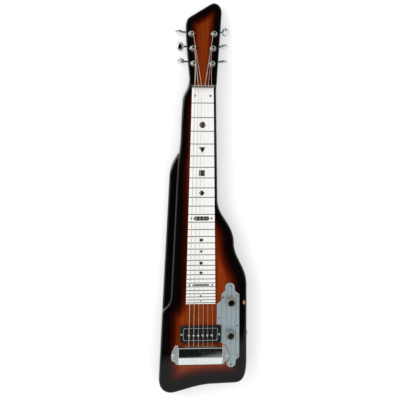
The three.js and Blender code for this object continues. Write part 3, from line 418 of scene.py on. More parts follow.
def lying(shape, place, side=1):
    points, faces = shape
    points = points[:, [2, 0, 1]] if side > 0 else points[:, [2, 1, 0]] * np.array([-1, 1, 1])
    return points + np.array(place), faces


def lengthwise(shape, place):
    points, faces = shape
    return points[:, [1, 2, 0]] + np.array(place), faces


print("plate and lathe helpers ready")

# %% [markdown]
# ## From points to pieces
# A piece's object stays at the origin, and its place is in its mesh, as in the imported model. So each helper
# below moves the points themselves. Booleans cut and join closed shells, and the result replaces the mesh. A
# face can take a second finish afterwards: paint picks the faces by their place and gives them its material.

# %% Make, cut and join pieces
def make(name, shape, *materials, matrix=None, sharp=35):
    points, faces = shape
    mesh = bpy.data.meshes.new(name)
    mesh.from_pydata([tuple(p) for p in np.asarray(points) * MM], [], faces)
    if matrix is not None:
        mesh.transform(matrix)
    obj = bpy.data.objects.new(name, mesh)
    bpy.context.scene.collection.objects.link(obj)
    for material in materials:
        mesh.materials.append(material)
    soften(obj, sharp)
    return obj


def soften(obj, sharp=35):
    obj.data.shade_smooth()
    obj.data.set_sharp_from_angle(angle=math.radians(sharp))


def outward(obj):
    bm = bmesh.new()
    bm.from_mesh(obj.data)
    bmesh.ops.remove_doubles(bm, verts=bm.verts, dist=1e-6)
    bmesh.ops.recalc_face_normals(bm, faces=bm.faces)
    if bm.calc_volume(signed=True) < 0:
        bmesh.ops.reverse_faces(bm, faces=bm.faces)
    bm.to_mesh(obj.data)
    bm.free()
    return obj


def settle(obj):
    bpy.context.view_layer.update()
    graph = bpy.context.evaluated_depsgraph_get()
    seen = obj.evaluated_get(graph)
    mesh = bpy.data.meshes.new_from_object(seen, preserve_all_data_layers=True, depsgraph=graph)
    obj.modifiers.clear()
    mesh.name = obj.name
    obj.data = mesh
    return obj


def combine(base, others, operation, sharp=35):
    for other in others:
        change = base.modifiers.new("change", "BOOLEAN")
        change.operation = operation
        change.solver = "EXACT"
        change.object = other
        settle(base)
        bpy.data.objects.remove(other)
    soften(base, sharp)
    return base


def cut(base, *others, sharp=35):
    return combine(base, others, "DIFFERENCE", sharp)


def join(base, *others, sharp=35):
    return combine(base, others, "UNION", sharp)


def even_gloss(obj):
    obj.modifiers.new("even_gloss", "WEIGHTED_NORMAL").keep_sharp = True
    return settle(obj)


def paint(obj, material, chosen):
    obj.data.materials.append(material)
    last = len(obj.data.materials) - 1
    count = 0
    for face in obj.data.polygons:
        if chosen(face.center / MM):
            face.material_index = last
            count += 1
    print(obj.name, "has", count, "faces in", material.name)
    return obj


def gather(name, objects):
    bm = bmesh.new()
    materials = []
    for obj in objects:
        start = len(bm.faces)
        bm.from_mesh(obj.data)
        bm.faces.ensure_lookup_table()
        for material in obj.data.materials:
            if material not in materials:
                materials.append(material)
        own = [materials.index(m) for m in obj.data.materials] or [0]
        for face in bm.faces[start:]:
            face.material_index = own[min(face.material_index, len(own) - 1)]
    mesh = bpy.data.meshes.new(name)
    bm.to_mesh(mesh)
    bm.free()
    for material in materials:
        mesh.materials.append(material)
    for obj in objects:
        bpy.data.objects.remove(obj)
    whole = bpy.data.objects.new(name, mesh)
    bpy.context.scene.collection.objects.link(whole)
    return whole


def fit(piece, body, slot, *nodes):
    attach(piece, body)
    if nodes:
        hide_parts(*nodes)
    print(f"{piece.name}: {len(piece.data.polygons)} faces on {body}, for {', '.join(nodes) or 'no node'}")
    return piece


ACROSS = Matrix(((0, 0, 1, 0), (1, 0, 0, 0), (0, 1, 0, 0), (0, 0, 0, 1)))
ALONG = Matrix(((1, 0, 0, 0), (0, 0, 1, 0), (0, 1, 0, 0), (0, 0, 0, 1)))


def at(x, y, z):
    return Matrix.Translation(Vector((x, y, z)) * MM)


print("piece helpers ready")

# %% [markdown]
# ## Effects that several finishes share
# Real surfaces are never quite even. Three small node groups give that unevenness: fine scratches that run
# one way, a soft haze from hands and polish, and wood grain. Each puts out values only, and each finish
# decides what to do with them.

# %% Build the shared effects
def effect(name, inputs, outputs):
    tree = bpy.data.node_groups.new(name, "ShaderNodeTree")
    for label, value in inputs:
        kind = "NodeSocketVector" if value is None else "NodeSocketFloat"
        socket = tree.interface.new_socket(name=label, in_out="INPUT", socket_type=kind)
        if value is not None:
            socket.default_value = value
    for label in outputs:
        tree.interface.new_socket(name=label, in_out="OUTPUT", socket_type="NodeSocketFloat")
    return tree, tree.nodes.new("NodeGroupInput"), tree.nodes.new("NodeGroupOutput")


def stretched(tree, source, across, along, up=1.0):
    scale = node(tree, "ShaderNodeVectorMath", {0: source}, operation="MULTIPLY")
    scale.inputs[1].default_value = (across, along, up)
    return scale.outputs[0]


def build_scratches():
    tree, given, out = effect("fine_scratches", [("Place", None), ("Scale", 1.0)], ["Height", "Mask"])
    sized = {0: given.outputs["Place"], 3: given.outputs["Scale"]}
    place = node(tree, "ShaderNodeVectorMath", sized, operation="SCALE").outputs[0]
    lines = noise(tree, stretched(tree, place, 1400, 30, 900), 1.0, 3.0, 0.6)
    patches = noise(tree, place, 60.0, 2.0)
    tree.links.new(lines, out.inputs["Height"])
    tree.links.new(sums(tree, "MULTIPLY", between(tree, lines, 0.5, 0.72), patches), out.inputs["Mask"])
    return tree


def build_haze():
    inputs = [("Place", None), ("Scale", 45.0), ("Clean", 0.1), ("Worn", 0.3)]
    tree, given, out = effect("hand_haze", inputs, ["Roughness", "Mask"])
    sized = {"Vector": given.outputs["Place"], "Scale": given.outputs["Scale"]}
    clouds = node(tree, "ShaderNodeTexNoise", sized, Detail=5.0, Roughness=0.62)
    mask = between(tree, clouds.outputs["Fac"], 0.38, 0.68)
    ends = {"Value": mask, "To Min": given.outputs["Clean"], "To Max": given.outputs["Worn"]}
    tree.links.new(node(tree, "ShaderNodeMapRange", ends).outputs[0], out.inputs["Roughness"])
    tree.links.new(mask, out.inputs["Mask"])
    return tree


def build_grain():
    tree, given, out = effect("wood_grain", [("Place", None), ("Waviness", 0.012)], ["Grain", "Pores"])
    place = given.outputs["Place"]
    drift = node(tree, "ShaderNodeTexNoise", {"Vector": place}, Scale=5.0, Detail=2.0)
    amount = {0: drift.outputs["Color"], 3: given.outputs["Waviness"]}
    push = node(tree, "ShaderNodeVectorMath", amount, operation="SCALE")
    moved = node(tree, "ShaderNodeVectorMath", {0: place, 1: push.outputs[0]}, operation="ADD").outputs[0]
    bands = noise(tree, stretched(tree, moved, 130, 5, 40), 1.0, 4.0, 0.55)
    pores = noise(tree, stretched(tree, moved, 900, 28, 300), 1.0, 2.0)
    tree.links.new(between(tree, bands, 0.3, 0.7), out.inputs["Grain"])
    tree.links.new(between(tree, pores, 0.6, 0.75), out.inputs["Pores"])
    return tree


SCRATCHES, HAZE, GRAIN = build_scratches(), build_haze(), build_grain()
print("effects:", SCRATCHES.name, HAZE.name, GRAIN.name)

# %% [markdown]
# ## Metals and plastics
# Chrome, nickel and the plastics differ in colour, in how sharply they mirror, and in how much the surface
# has been rubbed. One helper makes them all from the same effects, with its constant values set straight on
# the shader's sockets, and each finish gets its own numbers. Some are readings of the photograph, and they
# paint light into the colour. The knobs and their tops get darker metals than the chrome beside them, a
# painted reflection of a dark ceiling. The tuning buttons' stems and rims get darker metals as painted shade.
# The feet of the bridge cover get a paler, rubbed chrome, and their paleness is a painted highlight.

# %% Mix the finishes
def add_effect(tree, group, place, **values):
    made = tree.nodes.new("ShaderNodeGroup")
    made.node_tree = group
    tree.links.new(place, made.inputs["Place"])
    for label, value in values.items():
        made.inputs[label].default_value = value
    return made


def tint(tree, mask, low, high):
    ramp = node(tree, "ShaderNodeValToRGB", {0: mask})
    set_stops(ramp, [(0.0, low), (1.0, high)])
    return ramp.outputs["Color"]


def add_bump(tree, height, strength, distance):
    bump = node(tree, "ShaderNodeBump", {"Height": height}, Strength=strength, Distance=distance)
    tree.links.new(bump.outputs[0], tree.nodes["Principled BSDF"].inputs["Normal"])


def finish(name, clean, worn, roughness, metal=0.0, coat=0.0, scratch=0.02, haze_scale=45.0, bump_scale=1.0,
           specular=0.5):
    material, tree, shader = new_material(name)
    place = node(tree, "ShaderNodeTexCoord").outputs["Object"]
    haze = add_effect(tree, HAZE, place, Scale=haze_scale, Clean=roughness[0], Worn=roughness[1])
    lines = add_effect(tree, SCRATCHES, place, Scale=bump_scale)
    tree.links.new(haze.outputs["Roughness"], shader.inputs["Roughness"])
    tree.links.new(tint(tree, haze.outputs["Mask"], clean, worn), shader.inputs["Base Color"])
    add_bump(tree, lines.outputs["Mask"], scratch, 0.0002)
    settings(shader, Metallic=metal, Coat_Weight=coat, Coat_Roughness=0.05, Specular_IOR_Level=specular)
    return material


def metal(name, clean, worn, roughness, scratch=0.12, **more):
    return finish(name, clean, worn, roughness, metal=1.0, scratch=scratch, **more)


chrome = metal("bright_chrome", (0.78, 0.84, 0.84), (0.70, 0.74, 0.75), (0.02, 0.06), scratch=0.02)
# The knobs get a darker, warmer chrome: a painted reflection of a dark ceiling.
knob_reflection_chrome = metal("handled_chrome", (0.50, 0.49, 0.43), (0.30, 0.285, 0.25), (0.03, 0.08), scratch=0.06)
# The bridge cover's feet get a rougher, rubbed chrome that is paler than the chrome beside them. The paleness
# is a painted highlight.
rubbed_chrome = metal("rubbed_chrome", (0.88, 0.92, 0.92), (0.80, 0.84, 0.84), (0.26, 0.40), scratch=0.08)
# The dark metal on the knobs' tops is a painted reflection of a dark ceiling.
knob_top_reflection = metal("darkened_knob_top", (0.032, 0.032, 0.029), (0.085, 0.082, 0.072), (0.04, 0.16), scratch=0.1)
# Dulled chrome for the bushings. On the tuning buttons' rims the same darker chrome is painted shade.
dull_chrome_and_rim_shade = metal("dulled_chrome", (0.40, 0.40, 0.385), (0.17, 0.17, 0.165), (0.10, 0.30), haze_scale=160.0)
# The dark steel on the tuning buttons' stems is painted shade.
stem_shade_steel = metal("oiled_dark_steel", (0.10, 0.10, 0.10), (0.05, 0.048, 0.045), (0.22, 0.40), scratch=0.02)
nickel = metal("warm_nickel", (0.66, 0.62, 0.55), (0.52, 0.47, 0.40), (0.16, 0.34), scratch=0.08)
white_plastic = finish("ivory_white_plastic", (0.955, 0.955, 0.94), (0.93, 0.925, 0.90), (0.24, 0.36),
                       coat=0.2)
black_plastic = finish("black_moulded_plastic", (0.006, 0.006, 0.007), (0.012, 0.012, 0.013), (0.14, 0.28),
                       scratch=0.05, specular=0.36)
line_ink = finish("engraved_black", (0.006, 0.006, 0.006), (0.014, 0.013, 0.012), (0.35, 0.5))
pale_ink = finish("worn_inlay_grey", (0.16, 0.16, 0.16), (0.27, 0.265, 0.26), (0.35, 0.5))
grey_ink = finish("thin_inlay_grey", (0.05, 0.05, 0.05), (0.09, 0.088, 0.085), (0.35, 0.5))
board_screw = metal("darkened_screw", (0.12, 0.10, 0.075), (0.06, 0.05, 0.04), (0.30, 0.5), scratch=0.02)
screw_steel = metal("screw_nickel", (0.60, 0.57, 0.52), (0.40, 0.36, 0.31), (0.18, 0.40))
aged_screw = metal("aged_brass_screw", (0.46, 0.34, 0.17), (0.26, 0.19, 0.10), (0.25, 0.5))
brass = metal("pot_case_brass", (0.55, 0.39, 0.14), (0.40, 0.29, 0.13), (0.28, 0.5))
magnet_iron = finish("magnet_iron", (0.05, 0.05, 0.052), (0.09, 0.085, 0.08), (0.5, 0.75), metal=0.4,
                     scratch=0.3)
cloth_lead = finish("woven_lead_cover", (0.62, 0.55, 0.38), (0.45, 0.38, 0.24), (0.6, 0.85), scratch=0.5,
                    bump_scale=2.0)
coil_wire = finish("enamelled_coil_wire", (0.24, 0.065, 0.02), (0.34, 0.11, 0.035), (0.28, 0.45), metal=0.6,
                   scratch=0.5, bump_scale=0.8)
print("finishes mixed:", len(bpy.data.materials))

# %% [markdown]
# The pressed control plate is dull plated sheet. Its polish lines run along the guitar, so they stretch the
# light one way, and the plating has greyed in patches. The strings are drawn wire. The three thickest are
# wound, and their winding is a fine ripple along each string's own UV map, which counts the turns. The lines
# that are pressed up in the plate get a darker metal on their tops: painted shade.

# %% Plate and string finishes
def satin_plate():
    material = finish("satin_plated_sheet", (0.53, 0.63, 0.665), (0.46, 0.55, 0.585), (0.34, 0.48),
                      metal=0.72, scratch=0.0, haze_scale=22.0)
    tree = material.node_tree
    place = tree.nodes["Texture Coordinate"].outputs["Object"]
    add_bump(tree, noise(tree, stretched(tree, place, 2200, 14, 2200), 1.0, 4.0, 0.6), 0.22, 0.0001)
    return material


def string_finish(name, clean, worn, turns_per_metre):
    material = finish(name, clean, worn, (0.34, 0.52), metal=1.0, scratch=0.1, haze_scale=30.0)
    if turns_per_metre:
        tree = material.node_tree
        chart = tree.nodes["Texture Coordinate"].outputs["UV"]
        along = node(tree, "ShaderNodeSeparateXYZ", {0: chart}).outputs["X"]
        turns = sums(tree, "MULTIPLY", along, turns_per_metre * 2 * math.pi)
        wave = node(tree, "ShaderNodeMath", {0: turns}, operation="SINE")
        add_bump(tree, wave.outputs[0], 0.35, 0.00006)
    return material


plate_metal = satin_plate()
# Painted shade for the pressed lines: a darker metal on their tops.
pressed_line_shade = finish("grimy_pressed_line", (0.26, 0.30, 0.31), (0.17, 0.20, 0.21), (0.34, 0.5), metal=0.75)
wound_wire = string_finish("wound_string", (0.72, 0.65, 0.54), (0.60, 0.53, 0.42), turns_per_metre=3200)
plain_wire = string_finish("plain_string", (0.76, 0.72, 0.65), (0.66, 0.61, 0.53), turns_per_metre=0)
print("plate and string finishes mixed")

# %% [markdown]
# ## The sunburst
# The wood was stained orange-brown, then sprayed darker towards the edge, and finished with thick clear
# lacquer. The spray follows the outline, so each point of the body stores one number, called burst: 0 at the
# edge and 1 where only the stain shows. A colour ramp turns it into the spray, the grain darkens the stain,
# and the shader's coat is the lacquer over both. A small tan spot beside the control plate could be a chip
# or an empty screw place. A small tan oval beside the control plate is mixed into the colour under the
# lacquer.

# %% Mix the sunburst lacquer
tan_spot_place, tan_spot_half_width, tan_spot_half_length = (95.8, -466, 42), 3.2, 5.0


spray_stops = [
    (0.00, (0.0022, 0.0018, 0.0017)),
    (0.40, (0.0030, 0.0019, 0.0017)),
    (0.56, (0.022, 0.0026, 0.0010)),
    (0.72, (0.075, 0.0075, 0.0016)),
    (0.88, (0.165, 0.0220, 0.0030)),
    (1.00, (0.240, 0.0400, 0.0052)),
]


def tan_spot_mask(tree, place):
    away = node(tree, "ShaderNodeVectorMath", {0: place}, operation="SUBTRACT")
    away.inputs[1].default_value = [c * MM for c in tan_spot_place]
    shares = stretched(tree, away.outputs[0], 1 / (tan_spot_half_width * MM), 1 / (tan_spot_half_length * MM), 90)
    oval = node(tree, "ShaderNodeVectorMath", {0: shares}, operation="LENGTH")
    edge = sums(tree, "ADD", oval.outputs["Value"], noise(tree, place, 420.0, 3.0))
    return between(tree, edge, 1.45, 1.25)


def multiplied(tree, a, b):
    mix = node(tree, "ShaderNodeMix", data_type="RGBA", blend_type="MULTIPLY")
    mix.inputs[0].default_value = 1.0
    tree.links.new(a, mix.inputs[6])
    tree.links.new(b, mix.inputs[7])
    return mix.outputs[2]


def sunburst_lacquer():
    material, tree, shader = new_material("sunburst_lacquer")
    place = node(tree, "ShaderNodeTexCoord").outputs["Object"]
    burst = node(tree, "ShaderNodeAttribute", attribute_name="burst")
    drift = {"Value": noise(tree, place, 26.0, 3.0)}
    sway = node(tree, "ShaderNodeMapRange", drift, To_Min=-0.05, To_Max=0.05)
    ramp = node(tree, "ShaderNodeValToRGB", {0: sums(tree, "ADD", burst.outputs["Fac"], sway.outputs[0])})
    set_stops(ramp, spray_stops)
    grain = add_effect(tree, GRAIN, place)
    streak = tint(tree, grain.outputs["Grain"], (0.62, 0.50, 0.45), (1.18, 1.12, 1.05))
    pores = tint(tree, grain.outputs["Pores"], (1, 1, 1), (0.55, 0.45, 0.4))
    filled = multiplied(tree, multiplied(tree, ramp.outputs["Color"], streak), pores)
    spotted = node(tree, "ShaderNodeMix", data_type="RGBA")
    tree.links.new(tan_spot_mask(tree, place), spotted.inputs[0])
    tree.links.new(filled, spotted.inputs[6])
    spotted.inputs[7].default_value = (0.42, 0.21, 0.09, 1)
    tree.links.new(spotted.outputs[2], shader.inputs["Base Color"])
    haze = add_effect(tree, HAZE, place, Scale=14.0, Clean=0.30, Worn=0.46)
    tree.links.new(haze.outputs["Roughness"], shader.inputs["Roughness"])
    add_bump(tree, noise(tree, place, 130.0, 1.0), 0.02, 0.0006)
    settings(shader, Specular_IOR_Level=0.0, Coat_Weight=1.0, Coat_Roughness=0.02, Coat_IOR=1.5)
    return material


lacquer = sunburst_lacquer()
print("sunburst mixed")

# %% [markdown]
# ## The body
# One block of hardwood is sawn to the outline, a lower terrace is cut along the bass side, and the end is
# carved into a thin head that leans back by seven degrees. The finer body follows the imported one: two rounded
# plates make the deck and the terrace, a third makes the head in its own tilted frame, and booleans join them
# and sink the pockets for the pickup, the controls, the jack and the tuning machines. At the head, the deck
# is cut along the head's tilted face and the head along the deck, so that their two faces don't cross.

# %% Outline values
scale = 571.5
deck_top, wing_top = 42.0, 28.0
head_start, head_tilt, head_thick = 14.0, math.radians(7), 12.5
HEAD = at(0, head_start, deck_top) @ Matrix.Rotation(-head_tilt, 4, "X")
rows = [49.0, 80.2, 110.2]
half_gaps = [19.4, 21.3, 23.8]
tilted = [(row - head_start) / math.cos(head_tilt) for row in rows]
head_length = tilted[-1] + 64
head_short = tilted[-1] + 38
end_treble, end_bass = -(scale + 82.5), -(scale + 101.5)

deck_outline = trace(
    (28.6, 34), (29.9, 16), (29.7, 10), [(29.3, 0), (28.6, 0), (28.5, -8)],
    (34.2, 335.5 - scale),
    [(34.8, 295.5 - scale), (67, 286.5 - scale), (71.4, 241.5 - scale)],
    [(71, 203.5 - scale), (101, 187.5 - scale), (101, 141.5 - scale)],
    (104, end_treble + 54),
    [(104, end_treble + 20), (98.5, end_treble + 3), (78, end_treble + 2)],
    (20, end_treble),
    [(-14, end_treble - 3.5), (-38, end_bass + 4.5), (-62, end_bass)],
    [(-80, end_bass - 0.5), (-90.7, end_bass + 11), (-90.7, end_bass + 33)],
    (-83.9, 77.5 - scale),
    [(-83.1, 99.5 - scale), (-65.3, 93.5 - scale), (-64.6, 123.5 - scale)],
    (-52.4, -180),
    [(-51, -150), (-46, -130), (-45.2, -108)],
    [(-44.6, -84), (-43.2, -50), (-41, -25)],
    [(-39.6, -12.5), (-29.8, -6), (-28.3, 12)],
    (-28.1, 16), (-27.4, 34), step=3.0,
)
wing_outline = trace(
    (-20, -500), (-20, -98), (-30, -98), (-30, -117),
    [(-46, -135), (-68.5, -160), (-68.5, -195)],
    (-83.5, 77.5 - scale),
    [(-84.5, 55.5 - scale), (-70, 43.5 - scale), (-45, 43.5 - scale)],
    step=3.0,
)
head_outline = trace(
    (29.6, -6), (29.8, 0), (30.2, 6),
    [(33, 50.4), (36.6, 92.5), (39.5, head_length - 19)],
    [(39.5, head_length - 8), (31.5, head_length), (24.5, head_length)],
    [(19.5, head_length), (18.5, head_length - 1), (12.5, head_length - 4.6)],
    (-25.6, head_short - 2),
    [(-32.6, head_short - 6), (-35.6, head_short - 14), (-35.6, head_short - 23)],
    [(-35.6, head_short - 61), (-30.1, 30), (-28.1, 6)],
    (-28.1, -6), step=2.5,
)
print("outline points:", len(deck_outline), len(wing_outline), len(head_outline))


# %% Saw and join the body
def block(x0, x1, y0, y1, z0, z1):
    return plate([np.array([(x0, y0), (x1, y0), (x1, y1), (x0, y1)], float)], z0, z1)


def bar(x, y, z0, z1, radius, count=32):
    points, faces = turned([(0, z0), (radius, z0), (radius, z1), (0, z1)], count)
    return points + np.array([x, y, 0]), faces


def side_bar(x0, x1, y, z, radius, count=32):
    return lying(turned([(0, x0), (radius, x0), (radius, x1), (0, x1)], count), (0, y, z))


def saw_body():
    body = make("sunburst_body", plate([deck_outline], 0, deck_top, 4, 7, grid=5), lacquer)
    wing = make("wing", plate([wing_outline], 0, wing_top, 4, 7, grid=6), lacquer)
    join(body, wing)
    back_at = lambda y: deck_top - (y - head_start) * math.tan(head_tilt) - head_thick
    root, past_heel = head_start + 18, head_start + 40
    heel = trace((head_start - 7, -4), [(head_start - 3, 14), (head_start + 2, back_at(head_start + 10)),
                 (root, back_at(root))], (past_heel, back_at(past_heel)), (past_heel, -4), step=3)
    cut(body, make("heel", plate([heel], -100, 100), matrix=ACROSS))
    cut(body, make("above_head", block(-60, 60, 0.7, 80, -1, 40), matrix=HEAD))
    head = make("head", plate([head_outline], -head_thick, 0, 2.5, 6, grid=4), lacquer, matrix=HEAD)
    cut(head, make("above_deck", block(-60, 60, -20, 80, deck_top - 0.01, 60)))
    join(body, head)
    return body


body = saw_body()
print("body sawn:", len(body.data.vertices), "points")

# %% Sink the pockets
def sink_pockets(body):
    pickup_y = -(scale - 35.5)
    knob_x, volume_y, tone_y = 66, -462.5, -537.5
    room = round_rectangle(knob_x, (volume_y + tone_y) / 2, 27, volume_y - tone_y + 29, 6)
    cutters = [
        make("pickup_pocket", plate([round_rectangle(0, pickup_y, 78, 31, 5)], deck_top - 25, deck_top + 5)),
        make("control_pocket", plate([room], 8, deck_top + 5)),
        make("lead_channel", side_bar(33, 57, pickup_y, deck_top - 18, 4, 24)),
        make("jack_hole", side_bar(75, 114, -540.6, 22, 6.3, 40)),
    ]
    for x, d, radius in [(41.25, 536, 1.4), (33, 582.5, 2.0), (59.66, 586, 1.9)]:
        for side in (-1, 1):
            cutters.append(make("pilot", bar(side * x, -d, 24, deck_top + 2, radius, 16)))
    for v, gap in zip(tilted, half_gaps):
        for side in (-1, 1):
            cutters.append(make("tuner_hole", bar(side * gap, v, -head_thick - 2, 2, 4.9, 32), matrix=HEAD))
    return cut(body, *cutters)


sink_pockets(body)
print("pockets sunk:", len(body.data.polygons), "faces")

# %% Spray the burst
def spray(body):
    flat = np.array([v.co for v in body.data.vertices]) / MM
    toward_head = np.array(HEAD.inverted()) @ np.c_[flat * MM, np.ones(len(flat))].T
    tilted_place = toward_head[:3].T / MM
    lean = math.cos(head_tilt)
    head_plan = np.array([(u, head_start + v * lean) for u, v in head_outline if v > 6])
    neck_down = deck_outline[(deck_outline[:, 1] < 2) & (deck_outline[:, 0] > -200)]
    whole_plan = np.r_[neck_down, head_plan[::-1]]
    places = [-700, -640, -600, -560, -470, -400, -330, -290, -220, -150, -60, 0, 60, 180]
    bass = np.interp(flat[:, 1], places, [54, 51, 46, 42, 43, 45, 43, 40, 33, 29, 26, 24, 26, 28])
    treble = np.interp(flat[:, 1], places, [54, 51, 46, 44, 44, 44, 41, 34, 25, 24, 24, 23, 26, 28])
    across = np.clip(flat[:, 0] / 30 + 0.5, 0, 1)
    burst = edge_distance(flat[:, :2], [whole_plan]) / (bass * (1 - across) + treble * across)
    on_top = np.where(flat[:, 1] < 14, flat[:, 2] > deck_top - 4.1, tilted_place[:, 2] > -2.6)
    on_back = (flat[:, 2] < 1) | ((flat[:, 1] > 30) & (tilted_place[:, 2] < -head_thick + 1))
    burst = np.where(on_top, burst, np.where(on_back, burst * 0.8, 0))
    attribute = body.data.attributes.new("burst", "FLOAT", "POINT")
    attribute.data.foreach_set("value", np.clip(burst, 0, 1).astype(np.float32))


spray(body)
even_gloss(body)
fit(body, "instrument", "lacquer", "body")

# %% [markdown]
# ## The fingerboard
# A steel is played with a bar, so there are no raised frets: the fret places are lines on a flat white plate.
# Fret n lies at scale x (1 - 2^(-n/12)) from the nut. A geometry-node tree writes that rule, places one thin
# bar at each fret and makes it as long as the board is wide there.

# %% Make the board
board_low, board_top = 42.3, 45.3
board_end = scale * (1 - 2 ** (-29 / 12)) + 3
half_at = lambda d: (44.8 + (64.6 - 44.8) * d / board_end) / 2
screw_rows = [17, scale * (1 - 2 ** (-11.5 / 12)), board_end - 42.5]
board_screws = [(side * (half_at(d) - 6.6), -d) for d in screw_rows for side in (-1, 1)]
board_outline = trace(
    (-half_at(0.3), -0.3), (-half_at(board_end), -board_end), (half_at(board_end), -board_end),
    (half_at(0.3), -0.3), (-half_at(0.3), -0.3), step=12)
countersinks = [circle(x, y, 2.1, 20) for x, y in board_screws]
board_shape = plate([board_outline, *countersinks], board_low, board_top, 0.5, 3)
board = make("white_fingerboard", board_shape, white_plastic)
even_gloss(board)
fit(board, "instrument", "white_plastic", "fingerboard")

# %% Rule the fret lines with geometry nodes
def new_tree(name, inputs, takes_geometry=True):
    tree = bpy.data.node_groups.new(name, "GeometryNodeTree")
    add = tree.interface.new_socket
    if takes_geometry:
        add(name="Geometry", in_out="INPUT", socket_type="NodeSocketGeometry")
    names = {}
    for label, kind in inputs.items():
        names[label] = add(name=label, in_out="INPUT", socket_type="NodeSocket" + kind).identifier
    add(name="Geometry", in_out="OUTPUT", socket_type="NodeSocketGeometry")
    return tree, node(tree, "NodeGroupInput"), node(tree, "NodeGroupOutput"), names


def give_out(tree, instances, material, out):
    real = node(tree, "GeometryNodeRealizeInstances", {0: instances.outputs[0]})
    dressed = node(tree, "GeometryNodeSetMaterial", {"Geometry": real.outputs[0], "Material": material})
    tree.links.new(dressed.outputs[0], out.inputs[0])


def fret_line_tree():
    inputs = dict.fromkeys(["Scale Length", "Fret Count", "Width At Nut", "Width At End", "Board Length",
                            "Line Width", "Line Depth", "Line Height", "Material"], "Float")
    inputs.update({"Fret Count": "Int", "Material": "Material"})
    tree, group_input, out, names = new_tree("fret_lines", inputs, takes_geometry=False)
    given = group_input.outputs
    fret = sums(tree, "ADD", node(tree, "GeometryNodeInputIndex").outputs[0], 1)
    left = sums(tree, "POWER", 2, sums(tree, "DIVIDE", fret, -12))
    place = sums(tree, "MULTIPLY", given["Scale Length"], sums(tree, "SUBTRACT", 1, left))
    down = {"Y": sums(tree, "MULTIPLY", place, -1), "Z": given["Line Height"]}
    spot = node(tree, "ShaderNodeCombineXYZ", down)
    points = node(tree, "GeometryNodePoints", {"Count": given["Fret Count"], "Position": spot.outputs[0]})
    way_down = sums(tree, "DIVIDE", place, given["Board Length"])
    growth = sums(tree, "SUBTRACT", given["Width At End"], given["Width At Nut"])
    width = sums(tree, "ADD", given["Width At Nut"], sums(tree, "MULTIPLY", way_down, growth))
    size = node(tree, "ShaderNodeCombineXYZ", {"Y": given["Line Width"], "Z": given["Line Depth"]}, X=1.0)
    line = node(tree, "GeometryNodeMeshCube", {"Size": size.outputs[0]})
    grow = node(tree, "ShaderNodeCombineXYZ", {"X": width}, Y=1.0, Z=1.0)
    put = node(tree, "GeometryNodeInstanceOnPoints", {
        "Points": points.outputs[0], "Instance": line.outputs["Mesh"], "Scale": grow.outputs[0]})
    give_out(tree, put, given["Material"], out)
    return tree, names


def grow_piece(name, tree, names, values, points=()):
    mesh = bpy.data.meshes.new(name)
    mesh.from_pydata([tuple(Vector(p) * MM) for p in points], [], [])
    obj = bpy.data.objects.new(name, mesh)
    bpy.context.scene.collection.objects.link(obj)
    step = obj.modifiers.new("grow", "NODES")
    step.node_group = tree
    for label, value in values.items():
        step[names[label]] = value
    return settle(obj)


line_tree, line_names = fret_line_tree()
fret_lines = grow_piece("fret_lines", line_tree, line_names, {
    "Scale Length": scale * MM, "Fret Count": 29, "Width At Nut": 44.6 * MM, "Width At End": 64.4 * MM,
    "Board Length": board_end * MM, "Line Width": 1.6 * MM, "Line Depth": 0.3 * MM,
    "Line Height": (board_top - 0.11) * MM, "Material": line_ink})
fit(fret_lines, "instrument", "black_plastic")

# %% [markdown]
# The markers tell the player which fret is which. They are plain shapes, each let into the board: a disc, a
# triangle, a square and a diamond, a long bar at the twelfth fret, and the same again in smaller sizes. Thin
# grey lines stand in the disc and the first square, and four grey patches in the bar.

# %% Inlay the markers
def polygon(*corners):
    return np.array(corners, float)


def inlay(shape, d, x=0.0, top=0.05, material=line_ink):
    moved = [loop + np.array([x, -d]) for loop in shape]
    return make("inlay", plate(moved, board_top - 0.3, board_top + top), material)


def triangle(width, height):
    return polygon((-width / 2, height / 2), (0, -height / 2), (width / 2, height / 2))


def diamond(width, height):
    return polygon((-width / 2, 0), (0, -height / 2), (width / 2, 0), (0, height / 2))


def square(size):
    h = size / 2
    return polygon((-h, -h), (h, -h), (h, h), (-h, h))


def inlay_markers():
    made = [
        inlay([circle(0, 0, 6.6)], 77.7),
        inlay([circle(0, 0, 4.6), circle(0, 0, 4.1)], 77.7, top=0.09, material=grey_ink),
        inlay([triangle(14.1, 12.4)], 130.6),
        inlay([square(12.6)], 179.7),
        inlay([diamond(12.9, 12.6)], 222.5),
        inlay([round_rectangle(0, 0, 33.4, 9.0, 4.45, 10)], 277.7),
        inlay([circle(0, 0, 3.7)], 324.8),
        inlay([triangle(7.4, 6.6)], 351.0),
        inlay([square(6.6)], 375.8),
        inlay([diamond(8.4, 8.0)], 397.4),
        inlay([round_rectangle(0, 0, 36.5, 3.7, 1.6, 6)], 424.7),
        inlay([circle(0, 0, 1.9)], 448.9),
        inlay([triangle(3.8, 3.6)], 461.3),
    ]
    for size in (8.8, 5.0):
        made.append(inlay([square(size), square(size - 0.8)], 179.7, top=0.09, material=grey_ink))
    for x in (-9.4, -3.1, 3.1, 9.4):
        made.append(inlay([round_rectangle(0, 0, 3.8, 3.6, 1.0, 4)], 277.7, x, top=0.09, material=pale_ink))
    return gather("board_markers", made)


markers = inlay_markers()
fit(markers, "instrument", "black_plastic")

# %% [markdown]
# ## Screws
# The same domed screw holds the board, the ring, the bridge, its cover and the control plate, in five sizes.
# One tree puts a turned screw on each given point and spins each by its own random angle, since no two slots
# ever line up. The seed is fixed, so every run gives the same angles.

